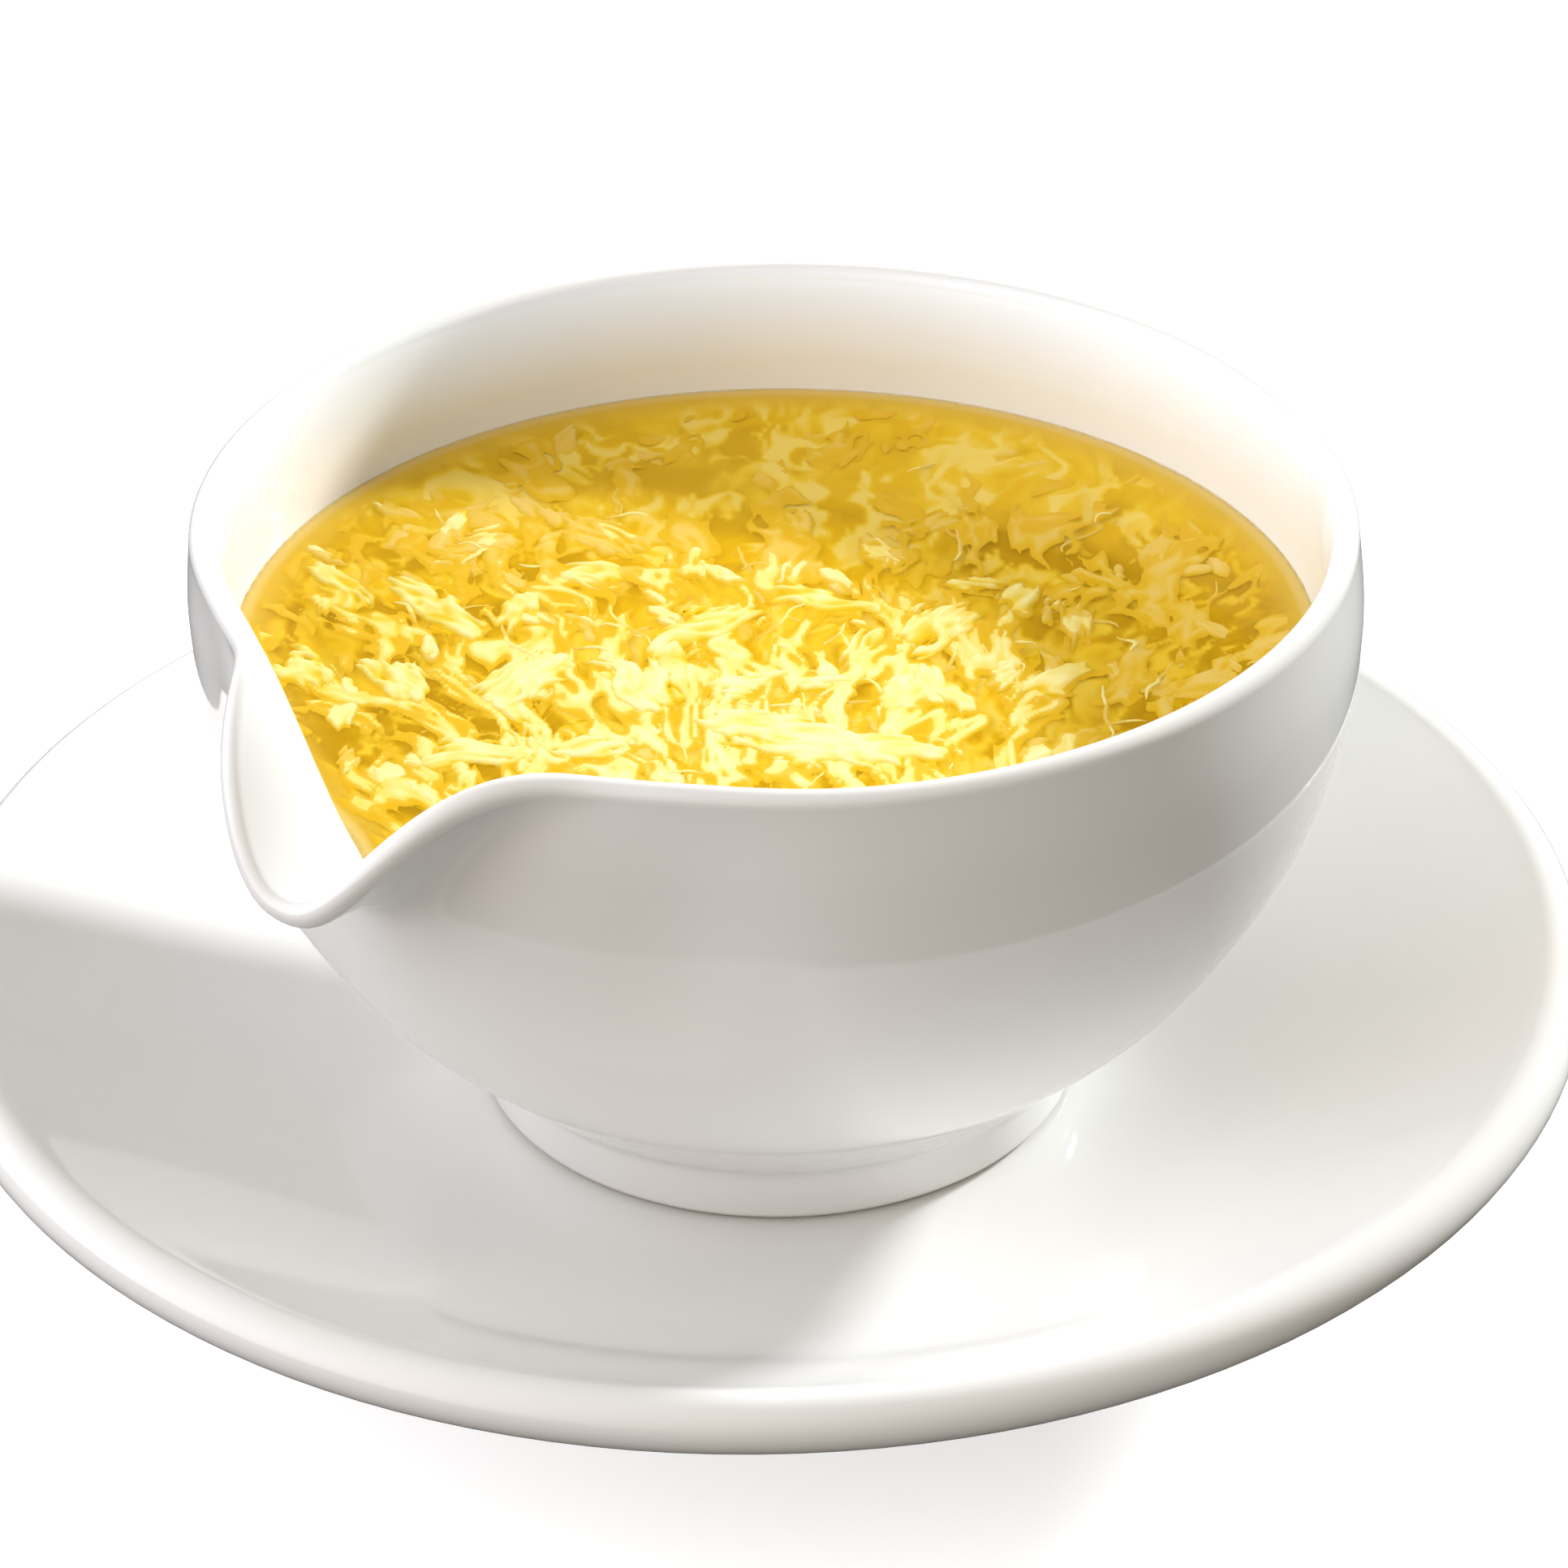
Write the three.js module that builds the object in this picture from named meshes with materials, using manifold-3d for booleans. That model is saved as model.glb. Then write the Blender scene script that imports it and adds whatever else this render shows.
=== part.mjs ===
// Egg drop soup in a white porcelain bowl with a pouring lip, standing on its saucer.
// Sizes are millimetres and angles degrees, unless a name says otherwise. Z is up and the front is -Y.
// The origin is the middle of the saucer's foot, on the surface that it stands on.
import * as THREE from "three";
import { mergeVertices } from "three/addons/utils/BufferGeometryUtils.js";
import Module from "manifold-3d";

// ---- Driving dimensions ----

const GAP = 0.3; // clearance kept between pieces that touch
const RAD = Math.PI / 180;

const SAUCER = {
  radius: 89, // out to the edge
  edgeRadius: 3, // the edge is full round
  edgeHeight: 25.9, // centre of the rounded edge
  wellHeight: 9, // top of the flat middle
  wellRadius: 37,
  riseCurve: 1.55, // 1 is a straight slope, more starts flatter
  edgeSlope: 31, // how steeply the wall reaches the edge
  thickness: 4.6,
  footRadius: 51, // outside of the foot ring
  footWidth: 4,
  footRound: 1,
  footBlend: 1.5, // from the foot ring to the flat under the well
  segments: 60,
};

const BOWL = {
  offsetX: 2.2, // its axis stands a little right of the saucer's
  footRadius: 32.6,
  footHeight: 6.2,
  footWidth: 4,
  footRound: 0.8,
  footBlend: 1.2,
  recessHeight: 4.6, // ceiling of the hollow under the base
  floorHeight: 9.6, // middle of the inside
  rimHeight: 66.5, // where the outer wall turns over into the rim
  rimThickness: 2.7,
  wallThickness: 4.2, // from the base to near the rim
  thinning: 8, // how late the wall thins towards the rim
  segments: 64,
  crowding: 0.5, // how much closer the segments stand at the lip
};

// The outer wall from the top of the foot ring to the rim: radius and height.
const BOWL_WALL = [
  [33.9, 7.0],
  [39.2, 12.0],
  [48.1, 21.0],
  [55.9, 34.0],
  [59.8, 46.0],
  [60.9, 57.0],
  [60.0, 66.5],
];

// The pouring lip: the wall leans out and its edge dips, between two shallow dents.
const LIP = {
  direction: -129.5, // from +X, anticlockwise
  startHeight: 34, // below this the wall is round
  reach: 12, // how far its tip stands out of the round wall
  lowShare: 0.15, // of the reach, gained low on the wall; the rest comes near the edge
  lowPower: 2,
  edgePower: 9,
  dip: 14.3, // how far its edge dips at the tip
  dipAngle: 9.6,
  dipSharpness: 2.35,
  dipPower: 1.7, // how late the dip begins on the way up
  angle: 14.4, // half its opening at the edge
  angleLow: 7.6, // and at its foot
  anglePower: 4, // how late it opens on the way up
  sharpness: 2.9,
  sharpnessLow: 1.8,
  dent: 2.2,
  dentAt: 31,
  dentAngle: 11,
  dentFade: 0.92, // 1 brings the dent back to nothing at the rim
};

const SOUP = {
  level: 52.7, // above the bowl's foot
  chips: 46, // small flakes fused to its top
  chipLength: [3.5, 6.5],
  chipRise: 0.45,
};

const FLAKE = {
  thickness: 0.8,
  cellsLong: 7,
  cellsWide: 2,
  endWidth: 0.3, // of the width, at both ends
  raggedness: [0.6, 1], // share of the half width that each row reaches
  shear: 0.3,
  wave: 0.75,
  waves: 9, // radians of wave along a flake
  arch: 1.5, // rise of the middle of a long flake
  fullLength: 14, // shorter flakes are flatter
  wallClearance: 2.6,
  spacing: 2.3, // between the grid points of neighbours, in plan
  fillers: 16,
  fillerLength: [6.5, 9.5],
  fillerShape: 0.45, // width as a share of the length
  scatterRadius: 50,
};

// The large flakes of egg, about the bowl's axis: x, y, length, width, heading.
const LARGE_FLAKES = [
  [5.2, -22, 24, 9.5, -21],
  [44, -10, 18, 4.5, 33],
  [17.6, -1.2, 11, 6, 51],
  [5.4, 6, 13, 4.6, -26],
  [-20, 10, 7.5, 5.5, -20],
  [-17.3, 22, 12, 5.5, -45],
  [-33, 29.5, 13, 4.6, 41],
  [-34.5, 19.5, 10.5, 5.2, 16],
  [-35.5, 5, 17, 5, -51],
  [-48, 9.6, 11.5, 4.4, -67],
  [-48.6, -7.5, 8, 4.6, -62],
  [-40, -11.5, 10.5, 5, -59],
  [-25.5, -11, 11.5, 7, 53],
  [-15.4, -12.2, 13, 6.6, -65],
  [-7.5, 0.2, 14, 6, 41],
  [28.5, -11.2, 10.5, 5, 43],
  [43, 15, 9, 5, 50],
  [26.5, 36.5, 9.5, 4.5, -33],
  [16.5, 25.5, 10, 5, 30],
  [-30, -27, 11, 5.5, 5],
];

const COLOUR = {
  porcelain: 0xf4f2ee,
  broth: 0xe2a811,
  egg: 0xfbe98a,
};

// ---- Small helpers ----

function seededRandom(seed) {
  let state = seed >>> 0;
  return () => {
    state = (state + 0x6d2b79f5) >>> 0;
    let t = Math.imul(state ^ (state >>> 15), 1 | state);
    t = (t + Math.imul(t ^ (t >>> 7), 61 | t)) ^ t;
    return ((t ^ (t >>> 14)) >>> 0) / 4294967296;
  };
}

const between = (random, [low, high]) => low + (high - low) * random();
const range = (count) => [...Array(count).keys()];

// Points of an arc about (x, y), from one angle to another, both ends included.
function arcPoints(x, y, radius, from, to, steps) {
  return range(steps + 1).map((i) => {
    const a = (from + ((to - from) * i) / steps) * RAD;
    return new THREE.Vector2(x + radius * Math.cos(a), y + radius * Math.sin(a));
  });
}

// A closed profile of radius and height, turned about Z. Its first and last points are on the axis.
function turned(profile, segments) {
  const outline = profile.map((p) => new THREE.Vector2(Math.max(p.x, 0), p.y));
  return new THREE.LatheGeometry(outline, segments).rotateX(Math.PI / 2);
}

// ---- Saucer ----

function saucerGeometry() {
  const s = SAUCER;
  const slope = s.edgeSlope * RAD;
  const edgeCentre = new THREE.Vector2(s.radius - s.edgeRadius, s.edgeHeight);
  const wallEnd = new THREE.Vector2(-Math.sin(slope), Math.cos(slope))
    .multiplyScalar(s.edgeRadius)
    .add(edgeCentre);
  const wallSteps = 8;
  const wall = range(wallSteps).map((i) => {
    const share = i / wallSteps;
    const x = s.wellRadius + (wallEnd.x - s.wellRadius) * share;
    const y = s.wellHeight + (wallEnd.y - s.wellHeight) * share ** s.riseCurve;
    return new THREE.Vector2(x, y);
  });
  // The underside follows the wall at the porcelain's thickness, outside the foot ring.
  const underside = wall.slice(3).map((p, i) => {
    const next = wall[i + 4] ?? wallEnd;
    const normal = new THREE.Vector2(next.y - p.y, p.x - next.x).normalize();
    return p.clone().addScaledVector(normal, s.thickness);
  });
  const ceiling = s.wellHeight - s.thickness;
  const footInside = s.footRadius - s.footWidth;
  const round = s.footRound;
  const profile = [
    new THREE.Vector2(0, ceiling),
    new THREE.Vector2(footInside - s.footBlend, ceiling),
    ...arcPoints(footInside + round, round, round, 180, 270, 2),
    ...arcPoints(s.footRadius - round, round, round, 270, 360, 2),
    new THREE.Vector2(s.footRadius + s.footBlend / 2, ceiling),
    ...underside,
    ...arcPoints(edgeCentre.x, edgeCentre.y, s.edgeRadius, s.edgeSlope - 90, s.edgeSlope + 90, 6),
    ...wall.reverse(),
    new THREE.Vector2(0, s.wellHeight),
  ];
  return turned(profile, s.segments);
}

// ---- Bowl ----

const wallCurve = new THREE.SplineCurve(BOWL_WALL.map(([r, z]) => new THREE.Vector2(r, z)));

// The wall's outside at a share of its length, at an angle from the lip's middle, as radius and height.
function wallPoint(share, fromLip) {
  const round = wallCurve.getPoint(share);
  const off = Math.abs(fromLip);
  const height = THREE.MathUtils.clamp(
    (round.y - LIP.startHeight) / (BOWL.rimHeight - LIP.startHeight),
    0,
    1,
  );
  const open = height ** LIP.anglePower;
  const angle = THREE.MathUtils.lerp(LIP.angleLow, LIP.angle, open);
  const sharpness = THREE.MathUtils.lerp(LIP.sharpnessLow, LIP.sharpness, open);
  const outward =
    LIP.lowShare * height ** LIP.lowPower + (1 - LIP.lowShare) * height ** LIP.edgePower;
  const lean = LIP.reach * outward * Math.exp(-((off / angle) ** sharpness));
  const dentDepth = LIP.dent * Math.sin(LIP.dentFade * Math.PI * height);
  const dent = dentDepth * Math.exp(-(((off - LIP.dentAt) / LIP.dentAngle) ** 2));
  const dip = LIP.dip * height ** LIP.dipPower * Math.exp(-((off / LIP.dipAngle) ** LIP.dipSharpness));
  return new THREE.Vector2(round.x + lean - dent, round.y - dip);
}

// The same in space, about the bowl's axis.
function wallPlace(share, fromLip) {
  const { x: radius, y: height } = wallPoint(share, fromLip);
  const a = (LIP.direction + fromLip) * RAD;
  return new THREE.Vector3(radius * Math.cos(a), radius * Math.sin(a), height);
}

// The wall's direction up and its normal outward, from near points.
function wallFrame(share, fromLip) {
  const step = 0.004;
  const low = Math.max(share - step, 0);
  const high = Math.min(share + step, 1);
  const up = wallPlace(high, fromLip).sub(wallPlace(low, fromLip)).normalize();
  const along = wallPlace(share, fromLip + 0.5).sub(wallPlace(share, fromLip - 0.5));
  const out = along.cross(up).normalize();
  return { up, out };
}

// A place on the inside, with the porcelain's thickness taken off, and more for what lies inside it.
function insidePlace(share, fromLip, inset) {
  const thickness = THREE.MathUtils.lerp(BOWL.wallThickness, BOWL.rimThickness, share ** BOWL.thinning);
  const { out } = wallFrame(share, fromLip);
  return wallPlace(share, fromLip).addScaledVector(out, -thickness - inset);
}

// A place on the rim, which is full round: 0 is its outside and 180 its inside.
function rimPlace(around, fromLip) {
  const radius = BOWL.rimThickness / 2;
  const { up, out } = wallFrame(1, fromLip);
  const turn = around * RAD;
  return wallPlace(1, fromLip)
    .addScaledVector(out, radius * (Math.cos(turn) - 1))
    .addScaledVector(up, radius * Math.sin(turn));
}

const onCircle = (radius, height) => (fromLip) => {
  const a = (LIP.direction + fromLip) * RAD;
  return new THREE.Vector3(radius * Math.cos(a), radius * Math.sin(a), height);
};

// A solid turned about the bowl's axis whose rings need not be round.
// Each station gives a place for an angle from the lip, and the rings crowd together at the lip.
function lippedGeometry(stations, segments) {
  const profile = stations.map((station, i) => new THREE.Vector2(i, i));
  const geometry = new THREE.LatheGeometry(profile, segments);
  const position = geometry.attributes.position;
  for (let i = 0; i < position.count; i++) {
    const turn = (Math.floor(i / stations.length) % segments) / segments;
    const even = (turn - 0.5) * 2 * Math.PI;
    const fromLip = (even - BOWL.crowding * Math.sin(even)) / RAD;
    position.setXYZ(i, ...stations[i % stations.length](fromLip));
  }
  return geometry;
}

const WALL_SHARES = [0, 0.12, 0.25, 0.38, 0.5, 0.61, 0.71, 0.8, 0.87, 0.925, 0.97, 1];
const FLOOR_RINGS = [
  [0, 0],
  [16, 0.25],
  [26, 1.6],
];

function bowlGeometry() {
  const b = BOWL;
  const footInside = b.footRadius - b.footWidth;
  const round = b.footRound;
  const foot = [
    new THREE.Vector2(0, b.recessHeight),
    new THREE.Vector2(footInside - b.footBlend, b.recessHeight),
    ...arcPoints(footInside + round, round, round, 180, 270, 2),
    ...arcPoints(b.footRadius - round, round, round, 270, 360, 2),
    new THREE.Vector2(b.footRadius, b.footHeight),
  ];
  const stations = [
    ...foot.map((p) => onCircle(p.x, p.y)),
    ...WALL_SHARES.map((share) => (a) => wallPlace(share, a)),
    ...[36, 72, 108, 144].map((turn) => (a) => rimPlace(turn, a)),
    ...WALL_SHARES.slice(2)
      .reverse()
      .map((share) => (a) => insidePlace(share, a, 0)),
    ...FLOOR_RINGS.toReversed().map(([radius, rise]) => onCircle(radius, b.floorHeight + rise)),
  ];
  return lippedGeometry(stations, b.segments);
}

// Everything inside the bowl up to its rim, clear of the porcelain.
function fillGeometry() {
  const stations = [
    ...FLOOR_RINGS.map(([radius, rise]) => onCircle(radius, BOWL.floorHeight + rise + GAP)),
    ...WALL_SHARES.slice(2).map((share) => (a) => insidePlace(share, a, GAP)),
    onCircle(0, BOWL.rimHeight),
  ];
  return lippedGeometry(stations, BOWL.segments);
}

// ---- Egg ----

// A thin wavy sheet with ragged edges, longest along X, both of its faces split alike.
function flakeGeometry(length, width, seed) {
  const random = seededRandom(seed);
  const { cellsLong, cellsWide, thickness } = FLAKE;
  const rows = cellsLong + 1;
  const columns = cellsWide + 1;
  const bend = between(random, [-0.5, 0.5]) * width;
  const phase = between(random, [0, 6]);
  const size = Math.min(length / FLAKE.fullLength, 1);
  const archHeight = FLAKE.arch * size * between(random, [0.5, 1]);
  const waveHeight = FLAKE.wave * (0.4 + 0.6 * size);
  const reach = range(rows).map(() => range(2).map(() => between(random, FLAKE.raggedness)));
  const vertices = [];
  for (let i = 0; i < rows; i++) {
    const u = i / cellsLong;
    const taper = THREE.MathUtils.lerp(FLAKE.endWidth, 1, Math.sin(Math.PI * u) ** 0.6);
    for (let j = 0; j < columns; j++) {
      const v = j / cellsWide - 0.5;
      const raggedness = reach[i][v < 0 ? 0 : 1];
      const across = v * width * taper * raggedness;
      const x = (u - 0.5) * length + across * FLAKE.shear;
      const y = across + bend * Math.sin(Math.PI * u);
      const wave = waveHeight * Math.sin(phase + FLAKE.waves * u + across);
      const rise = archHeight * Math.sin(Math.PI * u) * (0.5 + across / width);
      vertices.push([x, y, wave + rise]);
    }
  }
  const lowest = Math.min(...vertices.map((p) => p[2]));
  const bottom = vertices.map(([x, y, z]) => [x, y, z - lowest]);
  const top = bottom.map(([x, y, z]) => [x, y, z + thickness]);
  const count = bottom.length;
  const faces = [];
  for (let i = 0; i < cellsLong; i++) {
    for (let j = 0; j < cellsWide; j++) {
      const a = i * columns + j;
      const [b, c, d] = [a + columns, a + columns + 1, a + 1];
      faces.push([a, c, b], [a, d, c]);
      faces.push([a + count, b + count, c + count], [a + count, c + count, d + count]);
    }
  }
  const border = [
    ...range(rows).map((i) => i * columns),
    ...range(columns - 1).map((j) => cellsLong * columns + j + 1),
    ...range(rows - 1).map((i) => (cellsLong - i) * columns - 1),
    ...range(columns - 2).map((j) => columns - 2 - j),
  ];
  border.forEach((a, k) => {
    const b = border[(k + 1) % border.length];
    faces.push([a, b, b + count], [a, b + count, a + count]);
  });
  const geometry = new THREE.BufferGeometry();
  geometry.setAttribute("position", new THREE.Float32BufferAttribute([...bottom, ...top].flat(), 3));
  geometry.setIndex(faces.flat());
  return geometry;
}

// The soup's edge at its level, as a radius for an angle from +X: the highest inside place below it.
function soupRadius(angle) {
  const fromLip = THREE.MathUtils.euclideanModulo(angle - LIP.direction + 180, 360) - 180;
  const shares = range(81).map((i) => 0.2 + (0.8 * i) / 80);
  const under = shares
    .map((share) => insidePlace(share, fromLip, GAP))
    .filter((place) => place.z <= SOUP.level);
  const last = under[under.length - 1];
  return Math.hypot(last.x, last.y);
}

const placedPoints = [];

function planPoints(geometry) {
  const position = geometry.attributes.position;
  return range(position.count / 2).map((i) => [position.getX(i), position.getY(i)]);
}

// Whether a piece lies inside the bowl and clear of all that is placed so far.
function fits(points, spacing) {
  return points.every(([x, y]) => {
    const edge = soupRadius(Math.atan2(y, x) / RAD) - FLAKE.wallClearance;
    return (
      Math.hypot(x, y) < edge &&
      placedPoints.every(([px, py]) => Math.hypot(px - x, py - y) > spacing)
    );
  });
}

// A flake lying on the soup, moved a little at a time towards the middle until it fits.
function laidFlake([x, y, length, width, heading], seed) {
  for (let pull = 0; pull < 12; pull++) {
    const share = 1 - pull * 0.02;
    const geometry = flakeGeometry(length * share, width, seed)
      .rotateZ(heading * RAD)
      .translate(x * share, y * share, SOUP.level + GAP);
    const points = planPoints(geometry);
    if (fits(points, FLAKE.spacing)) {
      placedPoints.push(...points);
      return geometry;
    }
  }
  return null;
}

function laidFlakes() {
  const random = seededRandom(58);
  const flakes = LARGE_FLAKES.map((row, i) => laidFlake(row, 100 + i));
  for (let tries = 0; tries < 600 && flakes.length < LARGE_FLAKES.length + FLAKE.fillers; tries++) {
    const radius = FLAKE.scatterRadius * Math.sqrt(random());
    const angle = 2 * Math.PI * random();
    const length = between(random, FLAKE.fillerLength);
    const width = length * FLAKE.fillerShape;
    const row = [radius * Math.cos(angle), radius * Math.sin(angle), length, width, 360 * random()];
    const flake = laidFlake(row, 200 + tries);
    if (flake) flakes.push(flake);
  }
  return flakes.filter(Boolean);
}

// ---- Soup ----

const wasm = await Module();
wasm.setup();

function solidOf(geometry) {
  const bare = geometry.clone();
  bare.deleteAttribute("normal");
  bare.deleteAttribute("uv");
  const merged = mergeVertices(bare, 1e-4);
  return new wasm.Manifold(
    new wasm.Mesh({
      numProp: 3,
      vertProperties: new Float32Array(merged.attributes.position.array),
      triVerts: new Uint32Array(merged.index.array),
    }),
  );
}

function geometryOf(solid) {
  const mesh = solid.getMesh();
  const geometry = new THREE.BufferGeometry();
  geometry.setAttribute("position", new THREE.BufferAttribute(mesh.vertProperties, 3));
  geometry.setIndex(new THREE.BufferAttribute(mesh.triVerts, 1));
  return geometry;
}

// A small flake that stands a little out of the soup: an uneven six-sided chip, narrower at its top.
function chipGeometry(length, random) {
  const corners = 6;
  const geometry = new THREE.CylinderGeometry(0.8, 1, 1, corners, 1).rotateX(Math.PI / 2);
  const reach = range(corners).map(() => between(random, [0.6, 1]));
  const position = geometry.attributes.position;
  for (let i = 0; i < position.count; i++) {
    const [x, y, z] = [position.getX(i), position.getY(i), position.getZ(i)];
    const turn = (Math.atan2(x, -y) / (2 * Math.PI) + 1) * corners;
    const side = Math.round(turn) % corners;
    const out = Math.hypot(x, y) < 1e-3 ? 0 : reach[side];
    position.setXYZ(i, (x * out * length) / 2, (y * out * length) / 4, z);
  }
  const depth = 2 * SOUP.chipRise;
  return geometry.scale(1, 1, depth);
}

function soupGeometry() {
  const size = 4 * BOWL.footRadius;
  const below = new THREE.BoxGeometry(2 * size, 2 * size, size).translate(0, 0, SOUP.level - size / 2);
  let soup = solidOf(fillGeometry()).intersect(solidOf(below));
  const random = seededRandom(7);
  let chips = 0;
  for (let tries = 0; tries < 900 && chips < SOUP.chips; tries++) {
    const radius = FLAKE.scatterRadius * Math.sqrt(random());
    const angle = 2 * Math.PI * random();
    const chip = chipGeometry(between(random, SOUP.chipLength), random)
      .rotateZ(2 * Math.PI * random())
      .translate(radius * Math.cos(angle), radius * Math.sin(angle), SOUP.level);
    const points = planPoints(chip);
    if (!fits(points, FLAKE.spacing)) continue;
    placedPoints.push(...points);
    soup = soup.add(solidOf(chip));
    chips += 1;
  }
  return geometryOf(soup);
}

// ---- Assembly ----

function finish(colour, roughness) {
  return new THREE.MeshStandardMaterial({ color: colour, roughness, metalness: 0 });
}

function piece(name, geometry, material) {
  const mesh = new THREE.Mesh(geometry, material);
  mesh.name = name;
  return mesh;
}

const part = new THREE.Group();
part.add(piece("saucer", saucerGeometry(), finish(COLOUR.porcelain, 0.12)));

const servedBowl = new THREE.Group();
servedBowl.position.set(BOWL.offsetX, 0, SAUCER.wellHeight + GAP);
servedBowl.add(piece("bowl", bowlGeometry(), finish(COLOUR.porcelain, 0.12)));
laidFlakes().forEach((geometry, i) => {
  const name = "egg_flake_" + String(i + 1).padStart(2, "0");
  servedBowl.add(piece(name, geometry, finish(COLOUR.egg, 0.45)));
});
servedBowl.add(piece("soup", soupGeometry(), finish(COLOUR.broth, 0.15)));
part.add(servedBowl);

export default part;
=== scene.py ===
import logging
import math
from dataclasses import dataclass
from enum import Enum
from typing import Callable, Iterable, Sequence

import bpy
import numpy as np
from mathutils import Matrix, Vector
from mathutils.bvhtree import BVHTree


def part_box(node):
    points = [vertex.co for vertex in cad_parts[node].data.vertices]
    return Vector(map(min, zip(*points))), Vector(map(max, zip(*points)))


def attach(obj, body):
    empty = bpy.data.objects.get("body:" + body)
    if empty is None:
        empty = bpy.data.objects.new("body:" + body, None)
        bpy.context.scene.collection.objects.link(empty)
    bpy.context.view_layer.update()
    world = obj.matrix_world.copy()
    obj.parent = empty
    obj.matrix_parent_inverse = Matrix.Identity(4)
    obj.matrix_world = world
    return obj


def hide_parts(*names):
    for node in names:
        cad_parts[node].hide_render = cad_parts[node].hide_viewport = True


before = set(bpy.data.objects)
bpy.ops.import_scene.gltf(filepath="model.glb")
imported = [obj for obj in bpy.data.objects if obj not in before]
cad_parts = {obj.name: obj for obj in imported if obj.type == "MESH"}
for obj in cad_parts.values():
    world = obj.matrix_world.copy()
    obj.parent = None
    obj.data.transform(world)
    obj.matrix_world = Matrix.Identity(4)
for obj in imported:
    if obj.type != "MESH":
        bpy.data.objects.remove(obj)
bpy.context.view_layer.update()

log = logging.getLogger("egg_drop_soup")

MM = 0.001  # sizes below are millimetres in the part's frame, and meshes are metres

Array = np.ndarray
Outline = list[tuple[float, float]]


class Slot(Enum):
    """The record's material slots."""

    PORCELAIN = "porcelain"
    BROTH = "broth"
    EGG = "egg"


# ---------------------------------------------------------------- helpers


def seat(piece: bpy.types.Object, stands_for: Sequence[str]) -> None:
    """Ties a finished piece to the part.

    Args:
        piece: the finished object, with its place in its mesh.
        stands_for: the CAD nodes that it replaces.
    """
    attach(piece, "root")
    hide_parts(*stands_for)
    log.info("%s: %d faces", piece.name, len(piece.data.polygons))


def object_of(
    name: str, vertices: Array, faces: Iterable[Sequence[int]], marks: dict[str, Array] | None = None
) -> bpy.types.Object:
    """Makes a smooth mesh object from places in millimetres.

    Args:
        name: the piece's name.
        vertices: an N by 3 array in millimetres.
        faces: the corners of each face.
        marks: for each attribute's name, a number for each vertex.

    Returns:
        The new object, linked to the scene.
    """
    mesh = bpy.data.meshes.new(name)
    mesh.from_pydata((vertices * MM).tolist(), [], [list(map(int, f)) for f in faces])
    for mark, values in (marks or {}).items():
        mesh.attributes.new(mark, "FLOAT", "POINT").data.foreach_set("value", values.astype(np.float32))
    mesh.polygons.foreach_set("use_smooth", [True] * len(mesh.polygons))
    mesh.update()
    piece = bpy.data.objects.new(name, mesh)
    bpy.context.scene.collection.objects.link(piece)
    return piece


def shell(rings: Sequence[Array]) -> tuple[Array, list[list[int]]]:
    """Joins rings into one closed skin.

    Args:
        rings: rings of places, of which the first and last are closed with a fan.

    Returns:
        The places and the faces.
    """
    count = len(rings[0])
    hubs = [rings[0].mean(0)[None], rings[-1].mean(0)[None]]
    places = np.concatenate([*rings, *hubs])
    faces = []
    for i in range(len(rings) - 1):
        for j in range(count):
            k = (j + 1) % count
            faces.append([i * count + j, i * count + k, (i + 1) * count + k, (i + 1) * count + j])
    first, last = len(places) - 2, len(places) - 1
    end = (len(rings) - 1) * count
    faces += [[first, (j + 1) % count, j] for j in range(count)]
    faces += [[last, end + j, end + (j + 1) % count] for j in range(count)]
    return places, faces


def arc(centre: tuple[float, float], radius: float, start: float, end: float, steps: int) -> Outline:
    """Points of an arc in a radius and height outline, both ends included, with angles in degrees."""
    turns = np.radians(np.linspace(start, end, steps + 1))
    return [(centre[0] + radius * math.cos(t), centre[1] + radius * math.sin(t)) for t in turns]


def foot_ring(radius: float, width: float, edge: float, blend: float, ceiling: float) -> Outline:
    """The outline of a foot ring from under its ceiling, round its foot and to its outer side.

    Args:
        radius: of its outer side.
        width: of the ring.
        edge: radius of its rounded edges.
        blend: how far its inner side slopes into the ceiling.
        ceiling: height of the ceiling inside it.

    Returns:
        The outline, in millimetres.
    """
    inside = radius - width
    return [
        (inside - blend, ceiling),
        *arc((inside + edge, edge), edge, 180, 270, 4),
        *arc((radius - edge, edge), edge, 270, 360, 4),
    ]


def square(reach: float, cell: float) -> tuple[Array, Array]:
    """The places of a square grid about the middle, by half its width and the size of its cells."""
    side = np.arange(-reach, reach, cell)
    return np.meshgrid(side, side)


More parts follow.
